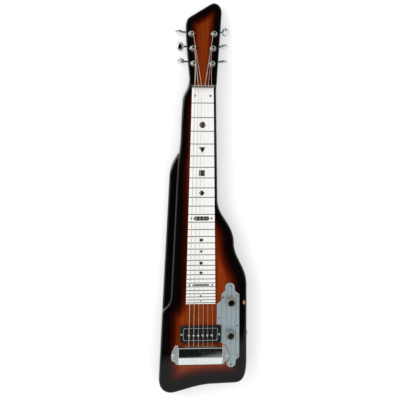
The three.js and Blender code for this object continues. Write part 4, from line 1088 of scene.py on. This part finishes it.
# %% Grow screws on points
def turned_screw(radius, height, shank, length):
    profile = [(0, -length), (shank * 0.35, -length), (shank, -length + 2 * shank)]
    for z in np.arange(-length + 2 * shank + 0.5, -0.8, 0.9):
        profile += [(shank, z), (shank * 1.22, z + 0.25), (shank, z + 0.5)]
    profile += [(shank, -0.2), (radius * 0.97, -0.2), (radius, 0.12), (radius * 0.96, height * 0.35)]
    for a in np.radians([28, 45, 62, 78]):
        profile.append((radius * math.cos(a), height * (0.35 + 0.65 * math.sin(a))))
    head = make("screw_blank", turned(profile + [(0, height)], 28), screw_steel)
    long, wide = radius * 1.1, radius * 0.13
    return cut(head, make("slot", block(-long, long, -wide, wide, height * 0.45, height + 1)))


def screw_tree():
    inputs = {"Screw": "Object", "Seed": "Int", "Material": "Material"}
    tree, group_input, out, names = new_tree("screws_on_points", inputs)
    given = group_input.outputs
    screw = node(tree, "GeometryNodeObjectInfo", {"Object": given["Screw"]}, As_Instance=True)
    spin = node(tree, "FunctionNodeRandomValue", {"Seed": given["Seed"]}, data_type="FLOAT")
    spin.inputs[3].default_value = math.pi
    turn = node(tree, "ShaderNodeCombineXYZ", {"Z": spin.outputs[1]})
    put = node(tree, "GeometryNodeInstanceOnPoints", {
        "Points": given["Geometry"], "Instance": screw.outputs["Geometry"], "Rotation": turn.outputs[0]})
    give_out(tree, put, given["Material"], out)
    return tree, names


screws_tree, screws_names = screw_tree()


def drive_screws(name, spots, size, seed, material, slot, *nodes):
    blank = turned_screw(*size)
    values = {"Screw": blank, "Seed": seed, "Material": material}
    screws = grow_piece(name, screws_tree, screws_names, values, spots)
    bpy.data.objects.remove(blank)
    soften(screws, 40)
    return fit(screws, "instrument", slot, *nodes)


pair = lambda x, d, z: [(-x, -d, z), (x, -d, z)]
drive_screws("board_screws", [(x, y, board_top - 0.35) for x, y in board_screws], (1.9, 0.75, 0.9, 8), 3,
             board_screw, "nickel")
drive_screws("ring_screws", pair(41.25, 536, 47.6), (2.3, 1.3, 1.1, 14), 5, chrome, "chrome",
             "ring_screw_bass", "ring_screw_treble")
drive_screws("bridge_screws", pair(33, 582.5, 44.6), (3.2, 1.7, 1.6, 14), 8, screw_steel, "chrome",
             "bridge_screw_bass", "bridge_screw_treble")
drive_screws("cover_screws", pair(59.66, 586, 43.6), (3.3, 1.8, 1.5, 13), 11, chrome, "chrome",
             "cover_screw_bass", "cover_screw_treble")

# %% [markdown]
# ## The nut and the strings
# The nut is a tall metal bar with a groove for each string. The strings are the one thing on the guitar that
# is a path: from the ball behind the bridge, up over the saddle, along the board, over the nut and down round
# the post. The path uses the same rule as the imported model, with more points, so that the windings are round.
# Each string's UV map runs in metres along it, for the ripple of the wound ones. The photograph doesn't
# settle how many are wound, and three is a common choice.

# %% File the nut
string_plane = 54.0
string_sizes = [1.4, 1.07, 0.85, 0.65, 0.5, 0.42]
share = lambda i: i / 5 - 0.5
string_x = lambda i, d: share(i) * (34.8 + (52.2 - 34.8) * d / scale)


def grooves(d, reach):
    made = []
    for i, size in enumerate(string_sizes):
        radius = size / 2 + 0.25
        rod = turned([(0, -reach), (radius, -reach), (radius, reach), (0, reach)], 20)
        made.append(make("groove", lengthwise(rod, (string_x(i, d), -d, string_plane + 0.05))))
    return made


nut_profile = rounded_corners([(0.3, 42.3), (5.3, 42.3), (5.3, 51.8), (3.7, 54), (0.3, 54)], 0.6, 3)
nut = cut(make("nut_bar", plate([nut_profile], -23.3, 23.3, 0.25, 2), nickel, matrix=ACROSS), *grooves(2, 9))
even_gloss(nut)
fit(nut, "instrument", "nickel", "nut")


# %% Wind the strings
ball_y, ball_z = -593.7, 48
post_waist = 2.4
ball_profile = [(0.75, -1.5), (1.5, -1.45), (1.85, -1.1), (1.9, 0), (1.85, 1.1), (1.5, 1.45), (0.75, 1.5),
                (0.75, -1.5)]


def rounded_path(corners, radius, count):
    path = [corners[0]]
    for before, here, after in zip(corners, corners[1:], corners[2:]):
        path += bend(before, here, after, radius, count)
    return path + [corners[-1]]


def string_path(i, steps=20):
    side = -1 if i < 3 else 1
    row = i if side < 0 else 5 - i
    radius = string_sizes[i] / 2
    wind = post_waist + 0.3 + radius
    x, nut_x = string_x(i, scale), string_x(i, 0)
    over_nut = Vector((nut_x, 3.9, string_plane))
    stations = [(x, ball_y, ball_z), (x, -588.5, ball_z), (x, -scale - 2, string_plane - 0.2)]
    stations += [(x, -scale, string_plane), (nut_x, 0, string_plane)]
    run = [Vector(station) for station in stations] + [over_nut]
    centre = Vector((side * half_gaps[row], tilted[row]))
    into_head = Matrix.Translation((0, head_start, deck_top)) @ Matrix.Rotation(-head_tilt, 4, "X")
    local = into_head.inverted() @ over_nut
    away = Vector((local.x, local.y)) - centre
    first = math.atan2(away.y, away.x) - side * math.acos(wind / away.length)
    turns = []
    for k in range(int(2.25 * steps) + 1):
        angle = first - side * k / steps * 2 * math.pi
        height = 8.5 + 2 - (string_sizes[i] + 0.5) * k / steps
        spot = Vector((centre.x + wind * math.cos(angle), centre.y + wind * math.sin(angle), height))
        turns.append(into_head @ spot)
    return rounded_path(run + turns[:1], 1.6, 4)[:-1] + turns


def tube(name, path, radius, material, sides=12):
    points = np.array([tuple(p) for p in path])
    points = points[np.r_[True, np.linalg.norm(np.diff(points, axis=0), axis=1) > 1e-4]]
    along = np.gradient(points, axis=0)
    along /= np.linalg.norm(along, axis=1)[:, None]
    length = np.r_[0, np.cumsum(np.linalg.norm(np.diff(points, axis=0), axis=1))]
    frame_x = np.cross(along[0], (0, 0, 1.0))
    if np.linalg.norm(frame_x) < 0.1:
        frame_x = np.cross(along[0], (0, 1.0, 0))
    rings = []
    for direction, point in zip(along, points):
        frame_x = frame_x - direction * np.dot(frame_x, direction)
        frame_x /= np.linalg.norm(frame_x)
        frame_y = np.cross(direction, frame_x)
        turn = [2 * math.pi * k / sides for k in range(sides)]
        rings += [point + radius * (frame_x * math.cos(a) + frame_y * math.sin(a)) for a in turn]
    last = len(points) - 1
    faces = []
    for k in range(last):
        for j in range(sides):
            a, b = k * sides + j, k * sides + (j + 1) % sides
            faces.append((a, b, b + sides, a + sides))
    faces.append(tuple(range(sides))[::-1])
    faces.append(tuple(last * sides + j for j in range(sides)))
    obj = make(name, (np.array(rings), faces), material, sharp=60)
    chart = obj.data.uv_layers.new(name="along_string")
    for face in obj.data.polygons:
        columns = {v % sides for v in face.vertices}
        wraps = {0, sides - 1} <= columns
        for corner in face.loop_indices:
            v = obj.data.loops[corner].vertex_index
            around = (v % sides) / sides
            chart.data[corner].uv = (length[v // sides] * MM, 1.0 if wraps and around == 0 else around)
    return obj


def add_strings():
    for i, size in enumerate(string_sizes):
        name = f"string_{6 - i}"
        material = wound_wire if i < 3 else plain_wire
        wire = tube(f"{name}_wire", string_path(i), size / 2, material)
        points, faces = turned(ball_profile, 24)
        ring = make("ball", (points + np.array([string_x(i, scale), ball_y, ball_z]), faces), brass)
        whole = gather(f"{name}_fine", [wire, ring])
        outward(whole)
        fit(whole, "instrument", "string_wire", name)


add_strings()

# %% [markdown]
# ## The tuning machines
# Each string has its own machine: a button turns a worm, the worm turns a small gear, and the gear turns the
# post. All four parts are shaped apart, because the button and the post each move by themselves. A machine is
# modelled once about its own post, then set in the tilted head, so all six share one recipe.

# %% Cast a housing
tooth_module, teeth, worm_pitch = 0.6, 14, 2.4
pitch = tooth_module * teeth / 2
worm_y = pitch + worm_pitch
case_top = -head_thick - 0.3
case_low = case_top - 11.5
drive = case_top - 11.5 / 2
worm_room = worm_pitch + 0.9
near_wall, far_wall = -7, worm_y + worm_room + 1.6
nose = 9.9


def housing_at(side, matrix, name):
    outline = round_rectangle(0, (far_wall + near_wall) / 2, 15, far_wall - near_wall, 3.4, 8)
    case = make(name, plate([outline], case_low, case_top, 1.5, 5), chrome, matrix=matrix)
    profile = [(0, 0), (3.3, 0), (3.3, nose - 1), (3.05, nose - 0.3), (2.6, nose), (0, nose)]
    join(case, make("collar", lying(turned(profile, 32), (0, worm_y, drive), side), matrix=matrix))
    bore_start, bore_end = sorted((-0.1 * side, 20 * side))
    rooms = [
        bar(0, 0, drive - 2.55, 0, pitch + 1.05, 24),
        block(-6, 6, worm_y - worm_room, worm_y + worm_room, drive - worm_room, 0),
        bar(0, 0, case_low + 0.9, 0, 2.1, 20),
        side_bar(bore_start, bore_end, worm_y, drive, 2.1, 24),
        bar(0, -5.1, case_low - 1, case_low + 0.8, 1.6, 20),
    ]
    return cut(case, *[make("room", room, matrix=matrix) for room in rooms])


# %% Turn a post, a bushing and a button
gear_half = 1.25
button_across, button_long, button_half_thick, button_start = 15.5, 20, 3.5, 17.6
worm_radius, worm_turns, worm_steps = 2.3, 2, 24
stem_reach = 2.3


def post_at(matrix, name):
    foot = drive - gear_half - 0.4
    profile = [(0, case_low + 1.2), (1.5, case_low + 1.2), (1.5, foot), (3, foot), (3, 4.8), (2.75, 5.1)]
    profile += [(post_waist, 5.5), (post_waist, 11.4), (2.6, 11.8), (2.95, 12.2), (3, 12.5), (3, 14.3)]
    profile += [(2.8, 14.7), (2.4, 15), (0, 15)]
    post = make(name, turned(profile, 36), chrome, matrix=matrix)
    tip, root = pitch + 0.15, pitch - 0.7
    corners = []
    for tooth in range(teeth):
        middle = math.pi / 2 + (tooth + 0.5) * 2 * math.pi / teeth
        for r, turn in ((root, -0.2), (root, -0.12), (tip, -0.04), (tip, 0.04), (root, 0.12)):
            corners.append((r * math.cos(middle + turn), r * math.sin(middle + turn)))
    gear = plate([np.array(corners)], drive - gear_half, drive + gear_half)
    join(post, make("gear", gear, matrix=matrix))
    return cut(post, make("string_slot", block(-0.45, 0.45, -4, 4, 12.9, 16), matrix=matrix))


def bushing_at(matrix, name):
    profile = [(3.4, -9.5), (4.6, -9.5), (4.6, 0.3), (6.2, 0.3), (6.5, 0.5), (6.4, 0.85), (5.9, 1.05)]
    profile += [(5.75, 1.6), (5.6, 2.7), (5.35, 3.6), (4.9, 4.2), (4.2, 4.5), (3.7, 4.58), (3.4, 4.35),
                (3.4, -9.5)]
    return make(name, turned(profile, 48), dull_chrome_and_rim_shade, matrix=matrix, sharp=50)


def pillow(rings=24):
    rows_of_points = []
    for k in range(rings + 1):
        lift = -math.pi / 2 + math.pi * k / rings
        reach = max(math.cos(lift), 0) ** 0.5
        height = math.copysign(abs(math.sin(lift)) ** 1.15, lift) * button_half_thick
        rows_of_points.append((reach, height))
    points, faces = turned(rows_of_points, 48)
    return points * np.array([button_across / 2, button_long / 2, 1]), faces


def worm_thread():
    lead = math.pi * tooth_module
    stations = []
    for k in range(worm_turns * worm_steps + 1):
        turn = k / worm_steps - 1
        angle = math.pi + turn * 2 * math.pi
        y, z = worm_y + worm_radius * math.cos(angle), drive + worm_radius * math.sin(angle)
        stations.append((turn * lead, y, z))
    return tube("thread", stations, 0.42, chrome, sides=6)


def button_at(side, rest_turn, matrix, name):
    lean = Matrix.Rotation(math.radians(rest_turn), 4, "X")
    centre = at(side * (button_start + button_across / 2), worm_y, drive) @ lean
    button = make(name, pillow(), chrome, matrix=matrix @ centre)
    profile = [(0, -5.4), (2.1, -5.4), (2.1, 5.4), (1.8, 5.6), (1.8, 16.6), (3.0, 17.0), (3.25, 17.6),
               (3.2, 19.2), (2.4, 20.6), (0, 20.6)]
    join(button, make("stem", lying(turned(profile, 32), (0, worm_y, drive), side), matrix=matrix))
    thread = worm_thread()
    thread.data.transform(matrix)
    join(button, thread)
    to_metres = Matrix.Scale(MM, 4)
    to_machine = (matrix @ to_metres).inverted() @ to_metres
    to_button = (matrix @ centre @ to_metres).inverted() @ to_metres

    def on_stem(middle):
        x, y, z = to_machine @ middle
        return 5.5 < abs(x) < button_start - 0.1 and math.hypot(y - worm_y, z - drive) < stem_reach

    # The rim band of each button is painted in a darker chrome: painted shade.
    def on_rim(middle):
        x, y, z = to_button @ middle
        reach = (x / (button_across / 2)) ** 2 + (y / (button_long / 2)) ** 2
        return 0.83 < reach < 1.02 and abs(z) < button_half_thick + 0.1

    # Painted shade: the rims get a darker chrome and the stems a dark steel.
    paint(button, dull_chrome_and_rim_shade, on_rim)
    return paint(button, stem_shade_steel, on_stem)


rest_turns = {"bass": [62, 4, 82], "treble": [86, 74, 38]}


def build_machines():
    for side, word in ((-1, "bass"), (1, "treble")):
        for i, rest_turn in enumerate(rest_turns[word]):
            matrix = HEAD @ at(side * half_gaps[i], tilted[i], 0)
            label = f"{word}_{i + 1}"
            housing = even_gloss(housing_at(side, matrix, f"housing_{label}"))
            fit(housing, "instrument", "chrome", f"tuner_housing_{label}")
            fit(bushing_at(matrix, f"bushing_{label}"), "instrument", "chrome", f"tuner_bushing_{label}")
            fit(post_at(matrix, f"post_{label}"), f"post_{label}", "chrome", f"tuner_post_{label}")
            button = button_at(side, rest_turn, matrix, f"button_{label}")
            fit(button, f"button_{label}", "chrome", f"tuner_button_{label}")


build_machines()

# %% [markdown]
# ## The pickup
# The black ring is a frame of moulded plastic, held by a screw at each end. Inside it stands a chrome frame
# with a rounded window, and through the window the black top of the bobbin shows, with six steel poles. The
# magnet and the coil lie out of sight below, but they get their own finishes too.

# %% Mould the ring, the frame and the bobbin top
pickup_y = -536.0
pole_y = pickup_y - 2.4
pole_spots = [(share(i) * 50, pole_y) for i in range(6)]


def framed(width, height, radius, count=8):
    return round_rectangle(0, pickup_y, width, height, radius, count)


ring_holes = [circle(x, pickup_y, 1.4, 20) for x in (-41.25, 41.25)]
ring_shape = plate([framed(90, 39, 4), framed(75.6, 29.1, 3), *ring_holes], 42.3, 47.3, 0.9, 4)
ring = make("ring_mould", ring_shape, black_plastic)
even_gloss(ring)
fit(ring, "instrument", "black_plastic", "pickup_ring")

frame_shell = make("frame_shell", plate([framed(75, 28.5, 3)], 34, 47.8, 0.7, 5), chrome)
hollow = make("hollow", plate([framed(73.4, 26.9, 2.4)], 30, 47.0))
window = make("window", plate([framed(70.2, 23.7, 5.4, 10)], 30, 50))
bead = make("bead", plate([framed(72.6, 26.1, 4.6, 10), framed(71.4, 24.9, 4.4, 10)], 47.55, 49))
cut(frame_shell, hollow, window, bead)
even_gloss(frame_shell)
fit(frame_shell, "instrument", "chrome", "pickup_frame")

pole_holes = [circle(x, y, 2.7, 24) for x, y in pole_spots]
bobbin_layers = [
    (framed(69.2, 22.7, 4.6), 46.3, 47.8, 0.4, 3),
    (framed(72.8, 26.3, 2.2, 6), 45.3, 46.7),
    (round_rectangle(0, pole_y, 58, 12, 5.5, 6), 27.2, 45.6),
    (framed(68.8, 22.3, 2.2, 6), 26.3, 27.7),
]
shapes = [plate([outline, *pole_holes], *span) for outline, *span in bobbin_layers]
bobbin = join(*[make("bobbin_mould", shape, black_plastic) for shape in shapes])
even_gloss(bobbin)
fit(bobbin, "instrument", "black_plastic", "pickup_bobbin")

# %% Turn the poles
def pole_bar():
    keeper = make("pole_set", plate([round_rectangle(0, pole_y, 58, 6.8, 0.8, 3)], 23, 26, 0.3, 2), chrome)
    profile = [(0, 24), (1.68, 24), (1.68, 47.0), (2.4, 47.2), (2.4, 47.9)]
    profile += [(2.4 * math.cos(a), 47.9 + 1.1 * math.sin(a)) for a in np.radians([12, 26, 42, 58, 74])]
    profile.append((0, 49))
    for x, y in pole_spots:
        points, faces = turned(profile, 32)
        join(keeper, make("pole", (points + np.array([x, y, 0]), faces)))
    slots = [make("slot", block(x - 2.6, x + 2.6, y - 0.25, y + 0.25, 48.4, 50)) for x, y in pole_spots]
    return cut(keeper, *slots)


poles = pole_bar()
fit(poles, "instrument", "chrome", "pickup_poles")

# %% [markdown]
# ## The bridge and its cover
# The bridge is a bent steel plate with a grooved saddle bar on it. Over it goes a folded chrome cover that
# the player's hand rests on. Sheet metal never folds to a sharp corner, so the cover's side view has rounded
# folds, and the inside is cut away to leave a thin wall. Two leaf-shaped feet carry its screws.

# %% Bend the bridge plate and the saddle
bridge_profile = rounded_corners(
    [(-564.5, 42.3), (-598.5, 42.3), (-598.5, 44.3), (-591.5, 44.3), (-591.5, 52.3), (-589.5, 52.3),
     (-589.5, 44.3), (-564.5, 44.3)], 0.6, 3)
bridge = make("bent_bridge", plate([bridge_profile], -38, 38, 0.2, 2), nickel, matrix=ACROSS)
wall_holes = []
for i, size in enumerate(string_sizes):
    radius = size / 2 + 0.3
    rod = turned([(0, -4), (radius, -4), (radius, 4), (0, 4)], 20)
    wall_holes.append(make("string_hole", lengthwise(rod, (string_x(i, scale), -590.5, ball_z))))
screw_holes = [make("hole", bar(side * 33, -582.5, 40, 46, 2.0, 20)) for side in (-1, 1)]
cut(bridge, *wall_holes, *screw_holes)
even_gloss(bridge)
fit(bridge, "instrument", "nickel", "bridge_plate")

saddle_profile = trace(
    (-574.5, 44.6), (-568.5, 44.6), (-569.3, 52.4),
    [(-570.0, 53.6), (-570.7, 54), (-571.5, 54)],
    [(-572.3, 54), (-573.0, 53.6), (-573.7, 52.4)], (-574.5, 44.6), step=1.2)
saddle = make("grooved_saddle", plate([saddle_profile], -34, 34, 0.3, 3), nickel, matrix=ACROSS)
cut(saddle, *grooves(scale, 7))
even_gloss(saddle)
fit(saddle, "instrument", "nickel", "bridge_saddle")


# %% Fold the cover
sheet_low, end_wall, inner_wall, screw_x = 42.3, 49.3, 48.3, 59.66


def fold_cover():
    outer = rounded_corners(
        [(-563.5, sheet_low), (-606, sheet_low), (-606, 47.3), (-587, 58), (-563.5, 57.87)], 2.2, 6)
    folded = [tuple(p) for p in outer if p[1] > 45]
    profile = np.array([(-563.5, sheet_low), (-606, sheet_low), *folded])
    cover = make("folded_cover", plate([profile], -end_wall, end_wall, 1.3, 5), chrome, matrix=ACROSS)
    cut(cover, make("flat_base", block(-60, 60, -610, -560, 38, sheet_low)))
    inner = rounded_corners([(-550, 40), (-605, 40), (-605, 46.9), (-587, 57), (-550, 57)], 1.4, 4)
    cut(cover, make("inside", plate([inner], -inner_wall, inner_wall, 0.3, 2), matrix=ACROSS))
    feet = []
    for side in (-1, 1):
        root, strip, tip = side * 48.8, side * 54.0, side * 67.4
        leaf = trace((root, -606), (strip, -606), (strip, -600.5),
                     [(tip, -601.5), (tip, -578.5), (strip, -561.5)], (root, -561.5), (root, -606), step=1.2)
        hole = circle(side * screw_x, -586, 1.8, 24)
        feet.append(make("foot", plate([leaf, hole], sheet_low, sheet_low + 1, 0.3, 3)))
    return join(cover, *feet)


cover = fold_cover()
even_gloss(cover)
# The feet get a rougher chrome, and its paler colour is a painted highlight.
paint(cover, rubbed_chrome, lambda c: abs(c.x) > end_wall + 0.1 and c.z < sheet_low + 1.3)
fit(cover, "instrument", "chrome", "bridge_cover")

# %% [markdown]
# ## The control plate and the knobs
# A plate of dull plated sheet covers the control pocket. It ends in two round tongues, and four lines are
# pressed up along it to stiffen it. Its seven small screws have aged to a brassy colour. The knobs are turned
# in one piece with their knurled skirts. Their chrome tops mirror a dark ceiling, and that reflection is
# painted in: the tops are painted dark, and the whole knob gets a darker chrome.

# %% Press the plate
knob_x, knob_rows = 66, {"volume": -462.5, "tone": -537.5}
line_rows = {46.7: (-552.5, -448.5), 57.5: (-555.5, -425.5), 67.3: (-612.5, -425.5), 78.1: (-597.5, -448.5)}


def control_outline():
    upper, lower = -438.5, -597.7
    return trace(
        (53.6, upper), (53.6, -431.5),
        *arc(64, -431.5, 10.4, 180, 0, 20)[1:],
        (74.4, upper), (84.5, upper - 8), (86.9, lower + 8), (79, lower), (79, -603.9),
        *arc(69, -603.9, 10, 0, -180, 20)[1:],
        (59, -601.5), (60.5, -601.3), [(66.6, -598.5), (67.8, -578), (55.2, -560)],
        (50.1, -560), (45.6, -556.5), (45.6, -515.5), (35.8, -515.5), (35.8, -468),
        (39.8, -466), (45.5, -460), (45.5, upper - 8), (53.6, upper), step=6)


plate_screws = [(65, -427.7), (49.5, -453), (80.3, -449.8), (40.5, -500.5), (81.5, -517.6), (83, -585.8),
                (69, -607.5)]
screw_gaps = [circle(x, y, 1.75, 20) for x, y in plate_screws]
bush_gaps = [circle(knob_x, y, 4.9, 36) for y in knob_rows.values()]
press = plate([control_outline(), *screw_gaps, *bush_gaps], 42.3, 43.8, 0.55, 4)
control_plate = make("pressed_plate", press, plate_metal)


def pressed_line(x, start, end):
    bow = np.radians(np.linspace(0, 180, 9))
    profile = [(x + 0.75 * math.cos(a), 43.55 + 0.58 * math.sin(a)) for a in bow]
    profile += [(x - 0.75, 43.3), (x + 0.75, 43.3)]
    return outward(make("pressed_line", plate([np.array(profile)], start, end), matrix=ALONG))


join(control_plate, *[pressed_line(x, *ends) for x, ends in line_rows.items()])
gaps = [bar(knob_x, y, 40, 50, 4.9, 36) for y in knob_rows.values()]
gaps += [bar(x, y, 40, 50, 1.75, 20) for x, y in plate_screws]
cut(control_plate, *[make("gap", gap) for gap in gaps])
even_gloss(control_plate)
# The tops of the pressed lines are painted in a darker metal: painted shade.
paint(control_plate, pressed_line_shade, lambda c: c.z > 43.82 and min(abs(c.x - x) for x in line_rows) < 0.9)
fit(control_plate, "instrument", "silver_plate", "control_plate")
spots = [(x, y, 43.8) for x, y in plate_screws]
drive_screws("plate_screws", spots, (2.2, 1.0, 1.1, 10), 21, aged_screw, "brass")


# %% Knurl the knobs
def knob_at(y, name):
    base, high = 45.4, 58.4
    outside = [(5.6, base), (9.75, base), (10, base + 0.25), (10, base + 1.1), (9.8, base + 1.5)]
    outside += [(9.3, base + 1.75), (9.75, base + 2.2), (9.75, base + 2.3, 0.5), (9.65, high - 3.2, 0.5)]
    outside += [(9.2, high - 1.7, 0.5), (8.3, high - 0.75, 0.4), (7.7, high - 0.55, 0.1), (7.55, high - 0.75)]
    outside += [(7.2, high - 0.8), (7.0, high - 0.3), (6.7, high - 0.06), (4.6, high - 0.03)]
    outside += [(4.3, high - 0.3), (3.9, high - 0.3), (3.6, high - 0.02), (0, high)]
    inside_cup = [(0, 54.1), (3.3, 54.1), (3.3, 47.9), (5.6, 47.9), (5.6, base)]
    points, faces = turned(outside, 240, ridges=48)
    cup_points, cup_faces = turned(inside_cup, 240)
    faces = faces + [tuple(i + len(points) for i in face) for face in cup_faces]
    # The knob's darker chrome and the dark paint on its top are a painted reflection of a dark ceiling.
    knob = make(name, (np.r_[points, cup_points], faces), knob_reflection_chrome, matrix=at(knob_x, y, 0), sharp=20)
    paint(knob, knob_top_reflection, lambda c: math.hypot(c.x - knob_x, c.y - y) < 6.9 and c.z > high - 0.5)
    return outward(knob)


for control, y in knob_rows.items():
    knob = knob_at(y, f"knurled_{control}_knob")
    soften(knob, 20)
    fit(knob, f"{control}_control", "chrome", f"{control}_knob")

# %% [markdown]
# ## The jack
# The output jack is a long threaded barrel in the treble edge. From above only its round flange shows,
# standing a little out of the lacquered side.

# %% Turn the jack
def turn_jack():
    mouth = (104 - 0.6, -540.6, 22)
    profile = [(3.4, 0), (8.9, 0), (9, 0.15), (9, 0.8), (8.85, 1), (7.6, 1.35), (7.45, 1.7), (7.4, 2.6)]
    profile += [(7.1, 3), (4.2, 3), (3.7, 2.8), (3.4, 2.4), (3.4, 0)]
    flange = make("turned_jack", lying(turned(profile, 64), mouth), nickel)
    threaded = [(3.4, -38), (6, -38)]
    for x in np.arange(-37.5, -2, 1.0):
        threaded += [(6, x), (5.7, x + 0.5)]
    threaded += [(6, -1), (6, 0.5), (3.4, 0.5), (3.4, -38)]
    cap = [(0, -41.5), (5.6, -41.5), (6, -41.1), (6, -37.9), (0, -37.9)]
    for name, shape in (("barrel", threaded), ("end", cap)):
        join(flange, make(name, lying(turned(shape, 48), mouth), nickel))
    return flange


jack = turn_jack()
even_gloss(jack)
fit(jack, "instrument", "nickel", "output_jack")

# %% [markdown]
# ## The parts inside
# The pots, their shafts, the capacitor, the coil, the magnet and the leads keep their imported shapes, since
# none of them is seen. Each gets the finish of its own material in place of the plain one.

# %% Finish the inner parts
inner = {
    "volume_pot": brass, "tone_pot": brass, "volume_shaft": nickel, "tone_shaft": nickel,
    "tone_capacitor": aged_screw, "pickup_coil": coil_wire, "pickup_magnet": magnet_iron,
    "pickup_lead": cloth_lead, "jack_lead": cloth_lead,
}
for name, material in inner.items():
    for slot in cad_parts[name].material_slots:
        slot.material = material
print("inner parts finished:", ", ".join(inner))
